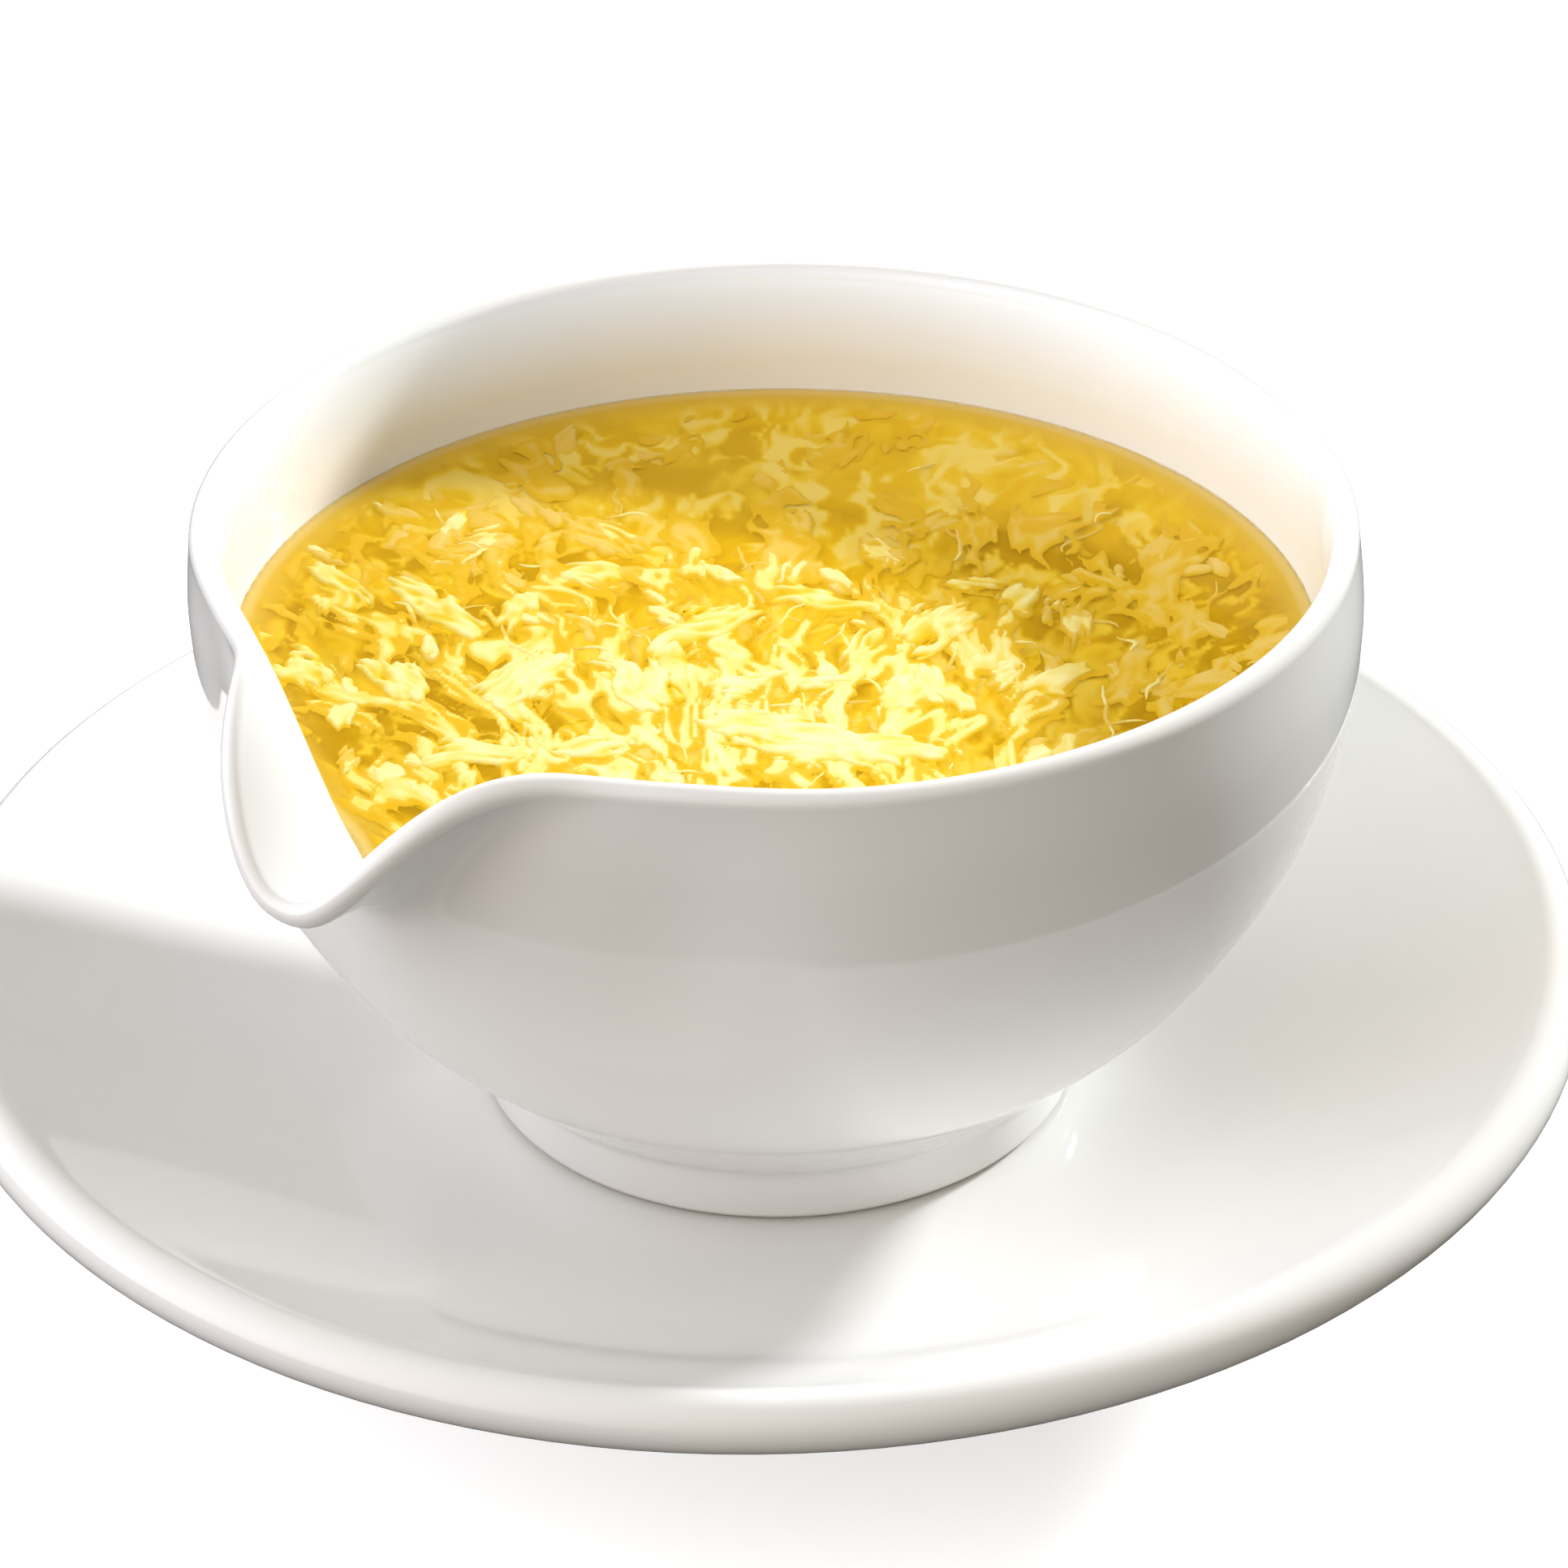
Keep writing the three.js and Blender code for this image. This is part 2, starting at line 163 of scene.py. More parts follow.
def spun(name: str, outline: Outline, steps: int) -> bpy.types.Object:
    """Draws an outline point by point and spins it about the upright axis.

    Args:
        name: the piece's name.
        outline: radius and height of each point in millimetres, from axis to axis.
        steps: how many steps the full turn takes.

    Returns:
        The closed object.
    """
    bpy.ops.object.select_all(action="DESELECT")
    start = Vector((outline[0][0], 0, outline[0][1])) * MM
    bpy.ops.mesh.primitive_plane_add(size=MM, location=start)
    piece = bpy.context.object
    piece.name = piece.data.name = name
    bpy.ops.object.transform_apply(location=True, rotation=False, scale=False)
    bpy.ops.object.mode_set(mode="EDIT")
    bpy.ops.mesh.select_all(action="SELECT")
    bpy.ops.mesh.merge(type="CENTER")
    for (r0, z0), (r1, z1) in zip(outline, outline[1:]):
        step = Vector((r1 - r0, 0, z1 - z0)) * MM
        bpy.ops.mesh.extrude_region_move(TRANSFORM_OT_translate={"value": step})
    bpy.ops.mesh.select_all(action="SELECT")
    bpy.ops.mesh.spin(steps=steps, angle=2 * math.pi, center=(0, 0, 0), axis=(0, 0, 1))
    bpy.ops.mesh.select_all(action="SELECT")
    bpy.ops.mesh.remove_doubles(threshold=0.02 * MM)
    bpy.ops.mesh.normals_make_consistent(inside=False)
    bpy.ops.object.mode_set(mode="OBJECT")
    bpy.ops.object.shade_smooth_by_angle(angle=math.radians(50))
    return piece


def face_outwards(piece: bpy.types.Object) -> None:
    """Turns all faces of a closed piece outwards."""
    bpy.ops.object.select_all(action="DESELECT")
    bpy.context.view_layer.objects.active = piece
    piece.select_set(True)
    bpy.ops.object.mode_set(mode="EDIT")
    bpy.ops.mesh.select_all(action="SELECT")
    bpy.ops.mesh.normals_make_consistent(inside=False)
    bpy.ops.object.mode_set(mode="OBJECT")


def soften_light(piece: bpy.types.Object, side: Array, edge: float = 0.1, relief: float = 0.6) -> None:
    """Turns a thin sheet's shading normals towards upright, as light seeps through it and softens its folds.

    Args:
        piece: the thin sheet.
        side: for each vertex, how strongly its normal is turned: up above zero, and down below it.
        edge: how much of the normal is kept at an edge.
        relief: how much more of it is kept where the sheet lies flat.
    """
    mesh = piece.data
    normals = np.empty(3 * len(mesh.vertices), np.float32)
    mesh.vertex_normals.foreach_get("vector", normals)
    normals = normals.reshape(-1, 3)
    kept = normals * (edge + relief * normals[:, 2:] ** 2)
    kept[:, 2] += side
    kept /= np.linalg.norm(kept, axis=1, keepdims=True)
    mesh.normals_split_custom_set_from_vertices(kept.tolist())


@dataclass(frozen=True)
class Rumple:
    """Smooth random heights over a plane, the same on every run.

    Args:
        seed: picks the pattern.
        cells: after how many units the pattern repeats.
    """

    seed: int
    cells: int = 64

    def once(self, x: Array, y: Array) -> Array:
        """One layer of the pattern, from about -0.7 to 0.7, with bumps about a unit wide."""
        turns = np.random.default_rng(self.seed).uniform(0, 2 * math.pi, (self.cells, self.cells))
        x0, y0 = np.floor(x).astype(int), np.floor(y).astype(int)
        fx, fy = x - x0, y - y0

        def corner(i: int, j: int) -> Array:
            """The slope at one corner of each cell, followed to the place."""
            turn = turns[(x0 + i) % self.cells, (y0 + j) % self.cells]
            return np.cos(turn) * (fx - i) + np.sin(turn) * (fy - j)

        sx = fx**3 * (fx * (6 * fx - 15) + 10)
        sy = fy**3 * (fy * (6 * fy - 15) + 10)
        low = corner(0, 0) * (1 - sx) + corner(1, 0) * sx
        high = corner(0, 1) * (1 - sx) + corner(1, 1) * sx
        return low * (1 - sy) + high * sy

    def layered(self, x: Array, y: Array, layers: int = 3) -> Array:
        """Layers of the pattern, each twice as fine and half as strong."""
        return sum(self.once(x * 2**k + 7.3 * k, y * 2**k + 3.1 * k) / 2**k for k in range(layers))

    def ridged(self, x: Array, y: Array, layers: int = 2) -> Array:
        """The layered pattern folded into sharp ridges, from 0 in the hollows to about 1 on the ridges."""
        return 1 - np.clip(2.2 * np.abs(self.layered(x, y, layers)), 0, 1)


# ---------------------------------------------------------------- finishes


class Recipe:
    """A node tree being written, with short ways to add and join nodes."""

    def __init__(self, name: str) -> None:
        """Starts a material with one Principled shader."""
        self.material = bpy.data.materials.new(name)
        self.material.use_nodes = True
        self.tree = self.material.node_tree
        self.shader = self.tree.nodes["Principled BSDF"]

    def add(self, kind: str, **inputs: object) -> bpy.types.Node:
        """Adds a node and sets its sockets by name, or joins them to other sockets."""
        node = self.tree.nodes.new(kind)
        for name, value in inputs.items():
            self.put(node.inputs[name.replace("_", " ")], value)
        return node

    def put(self, socket: bpy.types.NodeSocket, value: object) -> None:
        """Sets a socket to a value, or joins another socket to it."""
        if isinstance(value, bpy.types.NodeSocket):
            self.tree.links.new(value, socket)
        else:
            socket.default_value = value

    def set(self, **inputs: object) -> None:
        """Sets or joins the shader's own sockets by name."""
        for name, value in inputs.items():
            self.put(self.shader.inputs[name.replace("_", " ")], value)

    def place(self) -> bpy.types.NodeSocket:
        """The place on the piece, in metres."""
        return self.add("ShaderNodeTexCoord").outputs["Object"]

    def noise(self, scale: float, detail: float = 3.0, distortion: float = 0.0) -> bpy.types.NodeSocket:
        """A cloudy pattern over the piece's own place."""
        node = self.add(
            "ShaderNodeTexNoise", Vector=self.place(), Scale=scale, Detail=detail, Distortion=distortion
        )
        return node.outputs["Fac"]

    def spread(
        self, value: bpy.types.NodeSocket, low: float, high: float, to: tuple[float, float] = (0.0, 1.0)
    ) -> bpy.types.NodeSocket:
        """Maps a value's range onto another, and clamps it."""
        node = self.add("ShaderNodeMapRange", Value=value)
        for name, number in zip(("From Min", "From Max", "To Min", "To Max"), (low, high, *to)):
            node.inputs[name].default_value = number
        return node.outputs["Result"]

    def blend(self, share: bpy.types.NodeSocket, first: object, second: object) -> bpy.types.NodeSocket:
        """Mixes two colours by a share."""
        node = self.tree.nodes.new("ShaderNodeMix")
        node.data_type = "RGBA"
        self.put(node.inputs[0], share)
        self.put(node.inputs[6], first)
        self.put(node.inputs[7], second)
        return node.outputs[2]

    def mark(self, name: str) -> bpy.types.NodeSocket:
        """A number kept with each vertex."""
        node = self.add("ShaderNodeAttribute")
        node.attribute_name = name
        return node.outputs["Fac"]

    def sum(
        self, first: bpy.types.NodeSocket, second: bpy.types.NodeSocket, share: float
    ) -> bpy.types.NodeSocket:
        """The first value and a share of the second."""
        node = self.add("ShaderNodeMath")
        node.operation = "MULTIPLY_ADD"
        self.put(node.inputs[0], second)
        self.put(node.inputs[1], share)
        self.put(node.inputs[2], first)
        return node.outputs["Value"]

    def height(self) -> bpy.types.NodeSocket:
        """How high the place on the piece is, in metres."""
        return self.add("ShaderNodeSeparateXYZ", Vector=self.place()).outputs["Z"]

    def bump(self, height: bpy.types.NodeSocket, strength: float, distance: float) -> None:
        """Dresses the shader's normal with a fine relief."""
        node = self.add("ShaderNodeBump", Strength=strength, Distance=distance, Height=height)
        self.set(Normal=node.outputs["Normal"])


Colour = tuple[float, float, float, float]


def rgb(red: float, green: float, blue: float) -> Colour:
    """A linear colour."""
    return (red, green, blue, 1.0)


@dataclass(frozen=True)
class GlazedPorcelain:
    """White glaze over porcelain, bare and matt where it stands on its foot ring.

    Args:
        foot_height: up to which height in millimetres the foot ring is bare.
    """

    foot_height: float
    glaze: Colour = rgb(0.78, 0.77, 0.755)
    thick_glaze: Colour = rgb(0.76, 0.757, 0.745)
    bare: Colour = rgb(0.7, 0.67, 0.62)

    def material(self) -> bpy.types.Material:
        """Writes the node material."""
        r = Recipe("glazed_porcelain")
        cloud = r.noise(45, 2)
        bare = r.spread(r.height(), (self.foot_height + 0.25) * MM, self.foot_height * MM)
        glaze = r.blend(r.spread(cloud, 0.35, 0.65), self.glaze, self.thick_glaze)
        r.set(
            Base_Color=r.blend(bare, glaze, self.bare),
            Roughness=r.spread(bare, 0, 1, (0.07, 0.75)),
            IOR=1.5,
        )
        r.bump(r.noise(90, 1), 0.06, 0.4 * MM)
        return r.material


@dataclass(frozen=True)
class GoldenBroth:
    """The broth below its clear top layer, with clouds of egg, paler where it's shallow at the wall, and
    darkened with painted shade where its body mark falls below zero.
    """

    broth: Colour = rgb(0.74, 0.46, 0.004)
    deep: Colour = rgb(0.47, 0.25, 0.002)
    # painted shade: the darkest broth, reached where the body mark falls below zero
    clear: Colour = rgb(0.38, 0.19, 0.002)
    cloud: Colour = rgb(0.82, 0.60, 0.04)
    ridge: Colour = rgb(0.88, 0.77, 0.22)
    shallow: Colour = rgb(0.70, 0.52, 0.10)
    rim: Colour = rgb(0.76, 0.66, 0.34)

    def material(self) -> bpy.types.Material:
        """Writes the node material."""
        r = Recipe("golden_broth")
        body, edge = r.mark("body"), r.mark("edge")
        broth = r.blend(r.spread(r.noise(75, 3, 0.8), 0.4, 0.58), self.deep, self.broth)
        # where the body mark falls below zero, the broth darkens towards the painted shade colour
        clear = r.blend(r.spread(body, -0.35, 0.05), self.clear, broth)
        cloudy = r.blend(r.spread(body, 0.05, 0.5), clear, self.cloud)
        egg = r.blend(r.spread(body, 0.5, 1.0), cloudy, self.ridge)
        r.set(
            Base_Color=r.blend(r.spread(edge, 0.8, 1.0), r.blend(edge, egg, self.shallow), self.rim),
            Roughness=0.5,
            Specular_IOR_Level=0.0,
        )
        r.bump(r.noise(300, 2), 0.15, 0.3 * MM)
        return r.material


@dataclass(frozen=True)
class ClearBroth:
    """The broth's glossy top layer, through which the sunken egg shows."""

    tint: Colour = rgb(0.85, 0.52, 0.004)
    cover: float = 0.3

    def material(self) -> bpy.types.Material:
        """Writes the node material."""
        r = Recipe("clear_broth")
        r.set(Base_Color=self.tint, Roughness=0.08, Specular_IOR_Level=0.16, Alpha=self.cover)
        r.bump(r.noise(160, 2), 0.12, 0.3 * MM)
        return r.material


@dataclass(frozen=True)
class CookedEgg:
    """Soft cooked egg: cream on its ridges, yellow where it is thin, and golden below the broth's level.

    Args:
        level: height of the broth in millimetres.
    """

    level: float
    ridge: Colour = rgb(0.87, 0.785, 0.38)
    thin: Colour = rgb(0.79, 0.60, 0.09)
    edge: Colour = rgb(0.73, 0.47, 0.006)
    sunk: Colour = rgb(0.78, 0.50, 0.006)
    fade_depth: float = 1.6
    dry_height: float = 0.35

    def material(self) -> bpy.types.Material:
        """Writes the node material."""
        r = Recipe("cooked_egg")
        fine = r.noise(600, 2)
        share = r.sum(r.mark("body"), fine, 0.2)
        soft = r.blend(r.spread(share, 0.1, 0.4), self.edge, self.thin)
        egg = r.blend(r.spread(share, 0.3, 1.05), soft, self.ridge)
        dry, deep = (self.level + self.dry_height) * MM, (self.level - self.fade_depth) * MM
        depth = r.spread(r.height(), dry, deep, (0.0, 0.92))
        r.set(
            Base_Color=r.blend(depth, egg, self.sunk),
            Roughness=0.4,
            Specular_IOR_Level=0.1,
        )
        r.bump(fine, 0.15, 0.1 * MM)
        return r.material


@dataclass(frozen=True)
class StudioFloor:
    """A plain white floor, which throws back little light onto the object."""

    colour: Colour = rgb(0.85, 0.85, 0.85)
    glow: float = 0.6
    bounce: Colour = rgb(0.12, 0.115, 0.11)

    def material(self) -> bpy.types.Material:
        """Writes the node material."""
        r = Recipe("studio_floor")
        r.set(
            Base_Color=self.colour,
            Roughness=0.8,
            Specular_IOR_Level=0.0,
            Emission_Color=rgb(1, 1, 1),
            Emission_Strength=self.glow,
        )
        dim = r.add("ShaderNodeBsdfDiffuse", Color=self.bounce)
        seen = r.add("ShaderNodeLightPath").outputs["Is Camera Ray"]
        mix = r.add("ShaderNodeMixShader", Fac=seen)
        r.put(mix.inputs[1], dim.outputs["BSDF"])
        r.put(mix.inputs[2], r.shader.outputs["BSDF"])
        r.put(r.tree.nodes["Material Output"].inputs["Surface"], mix.outputs["Shader"])
        return r.material


# ---------------------------------------------------------------- porcelain


@dataclass
class Saucer:
    """The round saucer: flat well, sweeping wall, thick full-round edge and a foot ring."""

    radius: float = 89
    edge_radius: float = 3
    edge_height: float = 25.9
    well_height: float = 9
    well_radius: float = 37
    rise_curve: float = 1.55
    edge_slope: float = 31
    thickness: float = 4.6
    foot_radius: float = 51
    foot_width: float = 4
    foot_round: float = 1
    foot_blend: float = 1.5
    wall_steps: int = 30
    spin_steps: int = 144

    def outline(self) -> Outline:
        """The outline from the axis under the well, round the edge and back to the axis on top."""
        slope = math.radians(self.edge_slope)
        edge = (self.radius - self.edge_radius, self.edge_height)
        end_r = edge[0] - self.edge_radius * math.sin(slope)
        end_z = edge[1] + self.edge_radius * math.cos(slope)
        share = np.linspace(0, 1, self.wall_steps + 1)
        wall_r = self.well_radius + (end_r - self.well_radius) * share
        wall_z = self.well_height + (end_z - self.well_height) * share**self.rise_curve
        slope_r, slope_z = np.gradient(wall_r), np.gradient(wall_z)
        size = np.hypot(slope_r, slope_z)
        under_r = wall_r + slope_z / size * self.thickness
        under_z = wall_z - slope_r / size * self.thickness
        outside = (under_r > self.foot_radius + 2 * self.foot_blend) & (under_r < end_r)
        ceiling = self.well_height - self.thickness
        return [
            (0, ceiling),
            *foot_ring(self.foot_radius, self.foot_width, self.foot_round, self.foot_blend, ceiling),
            (self.foot_radius + self.foot_blend / 2, ceiling),
            *zip(under_r[outside], under_z[outside]),
            *arc(edge, self.edge_radius, self.edge_slope - 90, self.edge_slope + 90, 14),
            *zip(wall_r[-2::-1], wall_z[-2::-1]),
            (self.well_radius / 2, self.well_height),
            (0, self.well_height),
        ]

    def build(self) -> None:
        """Models and dresses the saucer."""
        piece = spun("porcelain_saucer", self.outline(), self.spin_steps)
        piece.data.materials.append(GlazedPorcelain(foot_height=0.6).material())
        seat(piece, ["saucer"])


@dataclass
class Bowl:
    """The round bowl on its foot ring, drawn out into one pouring lip.

    The wall is a curve of radius and height. Near the lip it leans out, its edge dips and it is
    dented on both sides, so its places are worked out in code for each angle from the lip.

    Heights are above the bowl's foot, and angles are degrees from the lip. A power says how late a
    form sets in on the way up, and a sharpness how square it is. What ends in low holds at lip_start.
    """

    axis_x: float = 2.2
    base_height: float = 9.3
    foot_radius: float = 32.6
    foot_height: float = 6.2
    foot_width: float = 4
    foot_round: float = 0.8
    foot_blend: float = 1.2
    recess_height: float = 4.6
    floor_height: float = 9.6
    rim_height: float = 66.5
    rim_thickness: float = 2.7
    wall_thickness: float = 4.2
    thinning: float = 8
    wall: tuple[tuple[float, float], ...] = (
        (33.9, 7.0),
        (39.2, 12.0),
        (48.1, 21.0),
        (55.9, 34.0),
        (59.8, 46.0),
        (60.9, 57.0),
        (60.0, 66.5),
    )
    lip_direction: float = -129.5
    lip_start: float = 34
    reach: float = 12
    low_share: float = 0.15
    low_power: float = 2
    edge_power: float = 9
    dip: float = 14.3
    dip_angle: float = 9.6
    dip_sharpness: float = 2.35
    dip_power: float = 1.7
    angle: float = 14.4
    angle_low: float = 7.6
    angle_power: float = 4
    sharpness: float = 2.9
    sharpness_low: float = 1.8
    dent: float = 2.2
    dent_at: float = 31
    dent_angle: float = 11
    dent_fade: float = 0.92
    segments: int = 224
    crowding: float = 0.5
    wall_steps: int = 56
    rim_steps: int = 14
    hub: float = 2.0
    floor_rings: tuple[tuple[float, float], ...] = ((0, 0), (8, 0.06), (16, 0.25), (21, 0.75), (26, 1.6))

    def directions(self, count: int | None = None) -> Array:
        """Angles from the lip in degrees, closer together at the lip."""
        even = np.linspace(-math.pi, math.pi, (count or self.segments) + 1)[:-1]
        return np.degrees(even - self.crowding * np.sin(even))

    def round_wall(self, share: Array) -> tuple[Array, Array]:
        """Radius and height of the round wall at a share of its length, as a spline through its points."""
        points = np.array(self.wall)
        last = len(points) - 1
        spot = np.clip(share, 0, 1) * last
        i = np.minimum(np.floor(spot).astype(int), last - 1)
        t = (spot - i)[..., None]
        before, first = points[np.maximum(i - 1, 0)], points[i]
        second, after = points[i + 1], points[np.minimum(i + 2, last)]
        v0, v1 = (second - before) / 2, (after - first) / 2
        place = (
            (2 * first - 2 * second + v0 + v1) * t**3
            + (-3 * first + 3 * second - 2 * v0 - v1) * t**2
            + v0 * t
            + first
        )
        return place[..., 0], place[..., 1]

    def wall_place(self, share: Array, from_lip: Array) -> Array:
        """Places on the outside of the wall, about the bowl's own axis."""
        radius, height = self.round_wall(share)
        off = np.abs(from_lip)
        up = np.clip((height - self.lip_start) / (self.rim_height - self.lip_start), 0, 1)
        opening = up**self.angle_power
        angle = self.angle_low + (self.angle - self.angle_low) * opening
        sharpness = self.sharpness_low + (self.sharpness - self.sharpness_low) * opening
        outward = self.low_share * up**self.low_power + (1 - self.low_share) * up**self.edge_power
        lean = self.reach * outward * np.exp(-((off / angle) ** sharpness))
        depth = self.dent * np.sin(self.dent_fade * math.pi * up)
        dent = depth * np.exp(-(((off - self.dent_at) / self.dent_angle) ** 2))
        dip = self.dip * up**self.dip_power * np.exp(-((off / self.dip_angle) ** self.dip_sharpness))
        turn = np.radians(self.lip_direction + from_lip)
        across = radius + lean - dent
        return np.stack([across * np.cos(turn), across * np.sin(turn), height - dip], -1)

    def wall_frame(self, share: Array, from_lip: Array) -> tuple[Array, Array]:
        """The wall's direction up and its normal outward."""
        step = 0.004
        high = self.wall_place(np.minimum(share + step, 1), from_lip)
        low = self.wall_place(np.maximum(share - step, 0), from_lip)
        up = (high - low) / np.linalg.norm(high - low, axis=-1, keepdims=True)
        along = self.wall_place(share, from_lip + 0.5) - self.wall_place(share, from_lip - 0.5)
        out = np.cross(along, up)
        return up, out / np.linalg.norm(out, axis=-1, keepdims=True)

    def inside_place(self, share: Array, from_lip: Array, inset: float = 0.0) -> Array:
        """Places on the inside of the wall, or inset from it."""
        thin = np.asarray(share)[..., None] ** self.thinning
        thickness = self.wall_thickness + (self.rim_thickness - self.wall_thickness) * thin
        _, out = self.wall_frame(share, from_lip)
        return self.wall_place(share, from_lip) - out * (thickness + inset)

    def rim_place(self, around: float, from_lip: Array) -> Array:
        """Places on the full-round rim: 0 degrees is its outside and 180 its inside."""
        one = np.ones_like(from_lip)
        up, out = self.wall_frame(one, from_lip)
        radius, turn = self.rim_thickness / 2, math.radians(around)
        return self.wall_place(one, from_lip) + radius * (out * (math.cos(turn) - 1) + up * math.sin(turn))

    def ring(self, radius: float, height: float, from_lip: Array) -> Array:
        """A flat circle about the bowl's axis."""
        turn = np.radians(self.lip_direction + from_lip)
        return np.stack([radius * np.cos(turn), radius * np.sin(turn), np.full_like(turn, height)], -1)

    def placed(self, places: Array) -> Array:
        """The same places in the part's frame."""
        return places + np.array([self.axis_x, 0, self.base_height])

    def shares(self) -> Array:
        """Shares of the wall's length, closer together towards the rim."""
        return 1 - (1 - np.linspace(0, 1, self.wall_steps + 1)) ** 1.25

    def rings(self) -> list[Array]:
        """All the bowl's rings, from under its base, up its outside, over the rim and down to its floor."""
        turns = self.directions()
        one = np.ones_like(turns)
        ceiling = self.recess_height
        foot = [
            (self.hub, ceiling),
            *foot_ring(self.foot_radius, self.foot_width, self.foot_round, self.foot_blend, ceiling),
            (self.foot_radius, self.foot_height - 1.8),
            (self.foot_radius + 0.05, self.foot_height - 1.0),
            (self.foot_radius + 0.25, self.foot_height - 0.35),
            (self.foot_radius + 0.65, self.foot_height + 0.25),
        ]
        shares = self.shares()
        rims = np.linspace(0, 180, self.rim_steps + 1)[1:-1]
        return [
            *(self.ring(r, z, turns) for r, z in foot),
            *(self.wall_place(s * one, turns) for s in shares),
            *(self.rim_place(a, turns) for a in rims),
            *(self.inside_place(s * one, turns) for s in shares[:5:-1]),
            *(self.ring(max(r, self.hub), self.floor_height + z, turns) for r, z in self.floor_rings[::-1]),
        ]

    def build(self) -> None:
        """Models and dresses the bowl."""
        places, faces = shell(self.rings())
        piece = object_of("porcelain_bowl", self.placed(places), faces)
        face_outwards(piece)
        piece.data.materials.append(GlazedPorcelain(foot_height=self.base_height + 0.5).material())
        seat(piece, ["bowl"])

    def edge_at(self, height: float, count: int, inset: float = 0.0) -> tuple[Array, Array]:
        """The inside's outline at one height.

        Args:
            height: above the bowl's foot.
            count: how many points the outline has.
            inset: how far inside the wall it lies.

        Returns:
            The angle from +X in radians and the radius of each point.
        """
        turns = self.directions(count)
        shares = np.linspace(0.3, 1, 120)
        places = np.stack([self.inside_place(s * np.ones_like(turns), turns, inset) for s in shares])
        # between the last place below the height and the first above it
        under = places[..., 2] <= height
        last = under.cumprod(0).sum(0).clip(1, len(shares) - 1)
        column = np.arange(len(turns))
        a, b = places[last - 1, column], places[last, column]
        t = np.clip((height - a[:, 2]) / np.maximum(b[:, 2] - a[:, 2], 1e-6), 0, 1)[:, None]
        edge = a + (b - a) * t
        return np.arctan2(edge[:, 1], edge[:, 0]), np.hypot(edge[:, 0], edge[:, 1])


# ---------------------------------------------------------------- broth


@dataclass
class Broth:
    """The soup's clear layer: glossy up to its level, with a small creep at the wall.

    Args:
        bowl: that holds it.
        level: height above the bowl's foot.
        thickness: of the layer.
        creep: how high it creeps up the wall.
        creep_width: how far from the wall the creep fades.
        inset: from the wall's face, below zero where the layer runs into the wall.
        rings: how many rings its top has.
    """

    bowl: Bowl
    level: float = 52.7
    thickness: float = 6.0
    creep: float = 0.04
    creep_width: float = 0.5
    inset: float = -0.06
    rings: int = 26

    def top(self) -> float:
        """Height of the surface in the part's frame."""
        return self.level + self.bowl.base_height

    def disc(self, height: float, creep: float) -> list[Array]:
        """Rings of the surface from near the middle to the wall, where the broth creeps up a little."""
        angle, radius = self.bowl.edge_at(height + creep, self.bowl.segments, self.inset)
        rings = []
        for share in 1 - (1 - np.linspace(0.02, 1, self.rings)) ** 1.8:
            r = radius * share
            climb = creep * np.exp(-(radius - r) / self.creep_width)
            rings.append(np.stack([r * np.cos(angle), r * np.sin(angle), height + climb], -1))
        return rings

    def room(self, depth: float) -> Callable[[Array, Array], Array]:
        """A measure of how far places at a depth below the level are from the wall."""
        angle, radius = self.bowl.edge_at(self.level - depth, 360, self.inset)
        order = np.argsort(angle)
        angle, radius = angle[order], radius[order]

        def gap(x: Array, y: Array) -> Array:
            """How far the places are from the wall."""
            return np.interp(np.arctan2(y, x), angle, radius, period=2 * math.pi) - np.hypot(x, y)

        return gap

    def build(self) -> None:
        """Models and dresses the layer."""
        high, low = self.disc(self.level, self.creep), self.disc(self.level - self.thickness, 0)
        places, faces = shell([*high, *low[::-1]])
        clear = object_of("broth", self.bowl.placed(places), faces)
        face_outwards(clear)
        bpy.ops.object.shade_smooth_by_angle(angle=math.radians(40))
        clear.data.materials.append(ClearBroth().material())
        seat(clear, ["soup"])


# ---------------------------------------------------------------- egg


@dataclass
class Sheet:
    """A part of a mesh.

    Args:
        places: of its vertices.
        faces: its triangles.
        body: for each vertex, how thick or raised the egg is.
        side: for each vertex, how strongly its normal is turned: up above zero, and down below it.
    """

    places: Array
    faces: Array
    body: Array
    side: Array

    @staticmethod
    def joined(sheets: Sequence["Sheet"]) -> "Sheet":
        """Several sheets as one."""
        start = np.cumsum([0] + [len(s.places) for s in sheets])
        return Sheet(
            np.concatenate([s.places for s in sheets]),
            np.concatenate([s.faces + n for s, n in zip(sheets, start)]),
            np.concatenate([s.body for s in sheets]),
            np.concatenate([s.side for s in sheets]),
        )


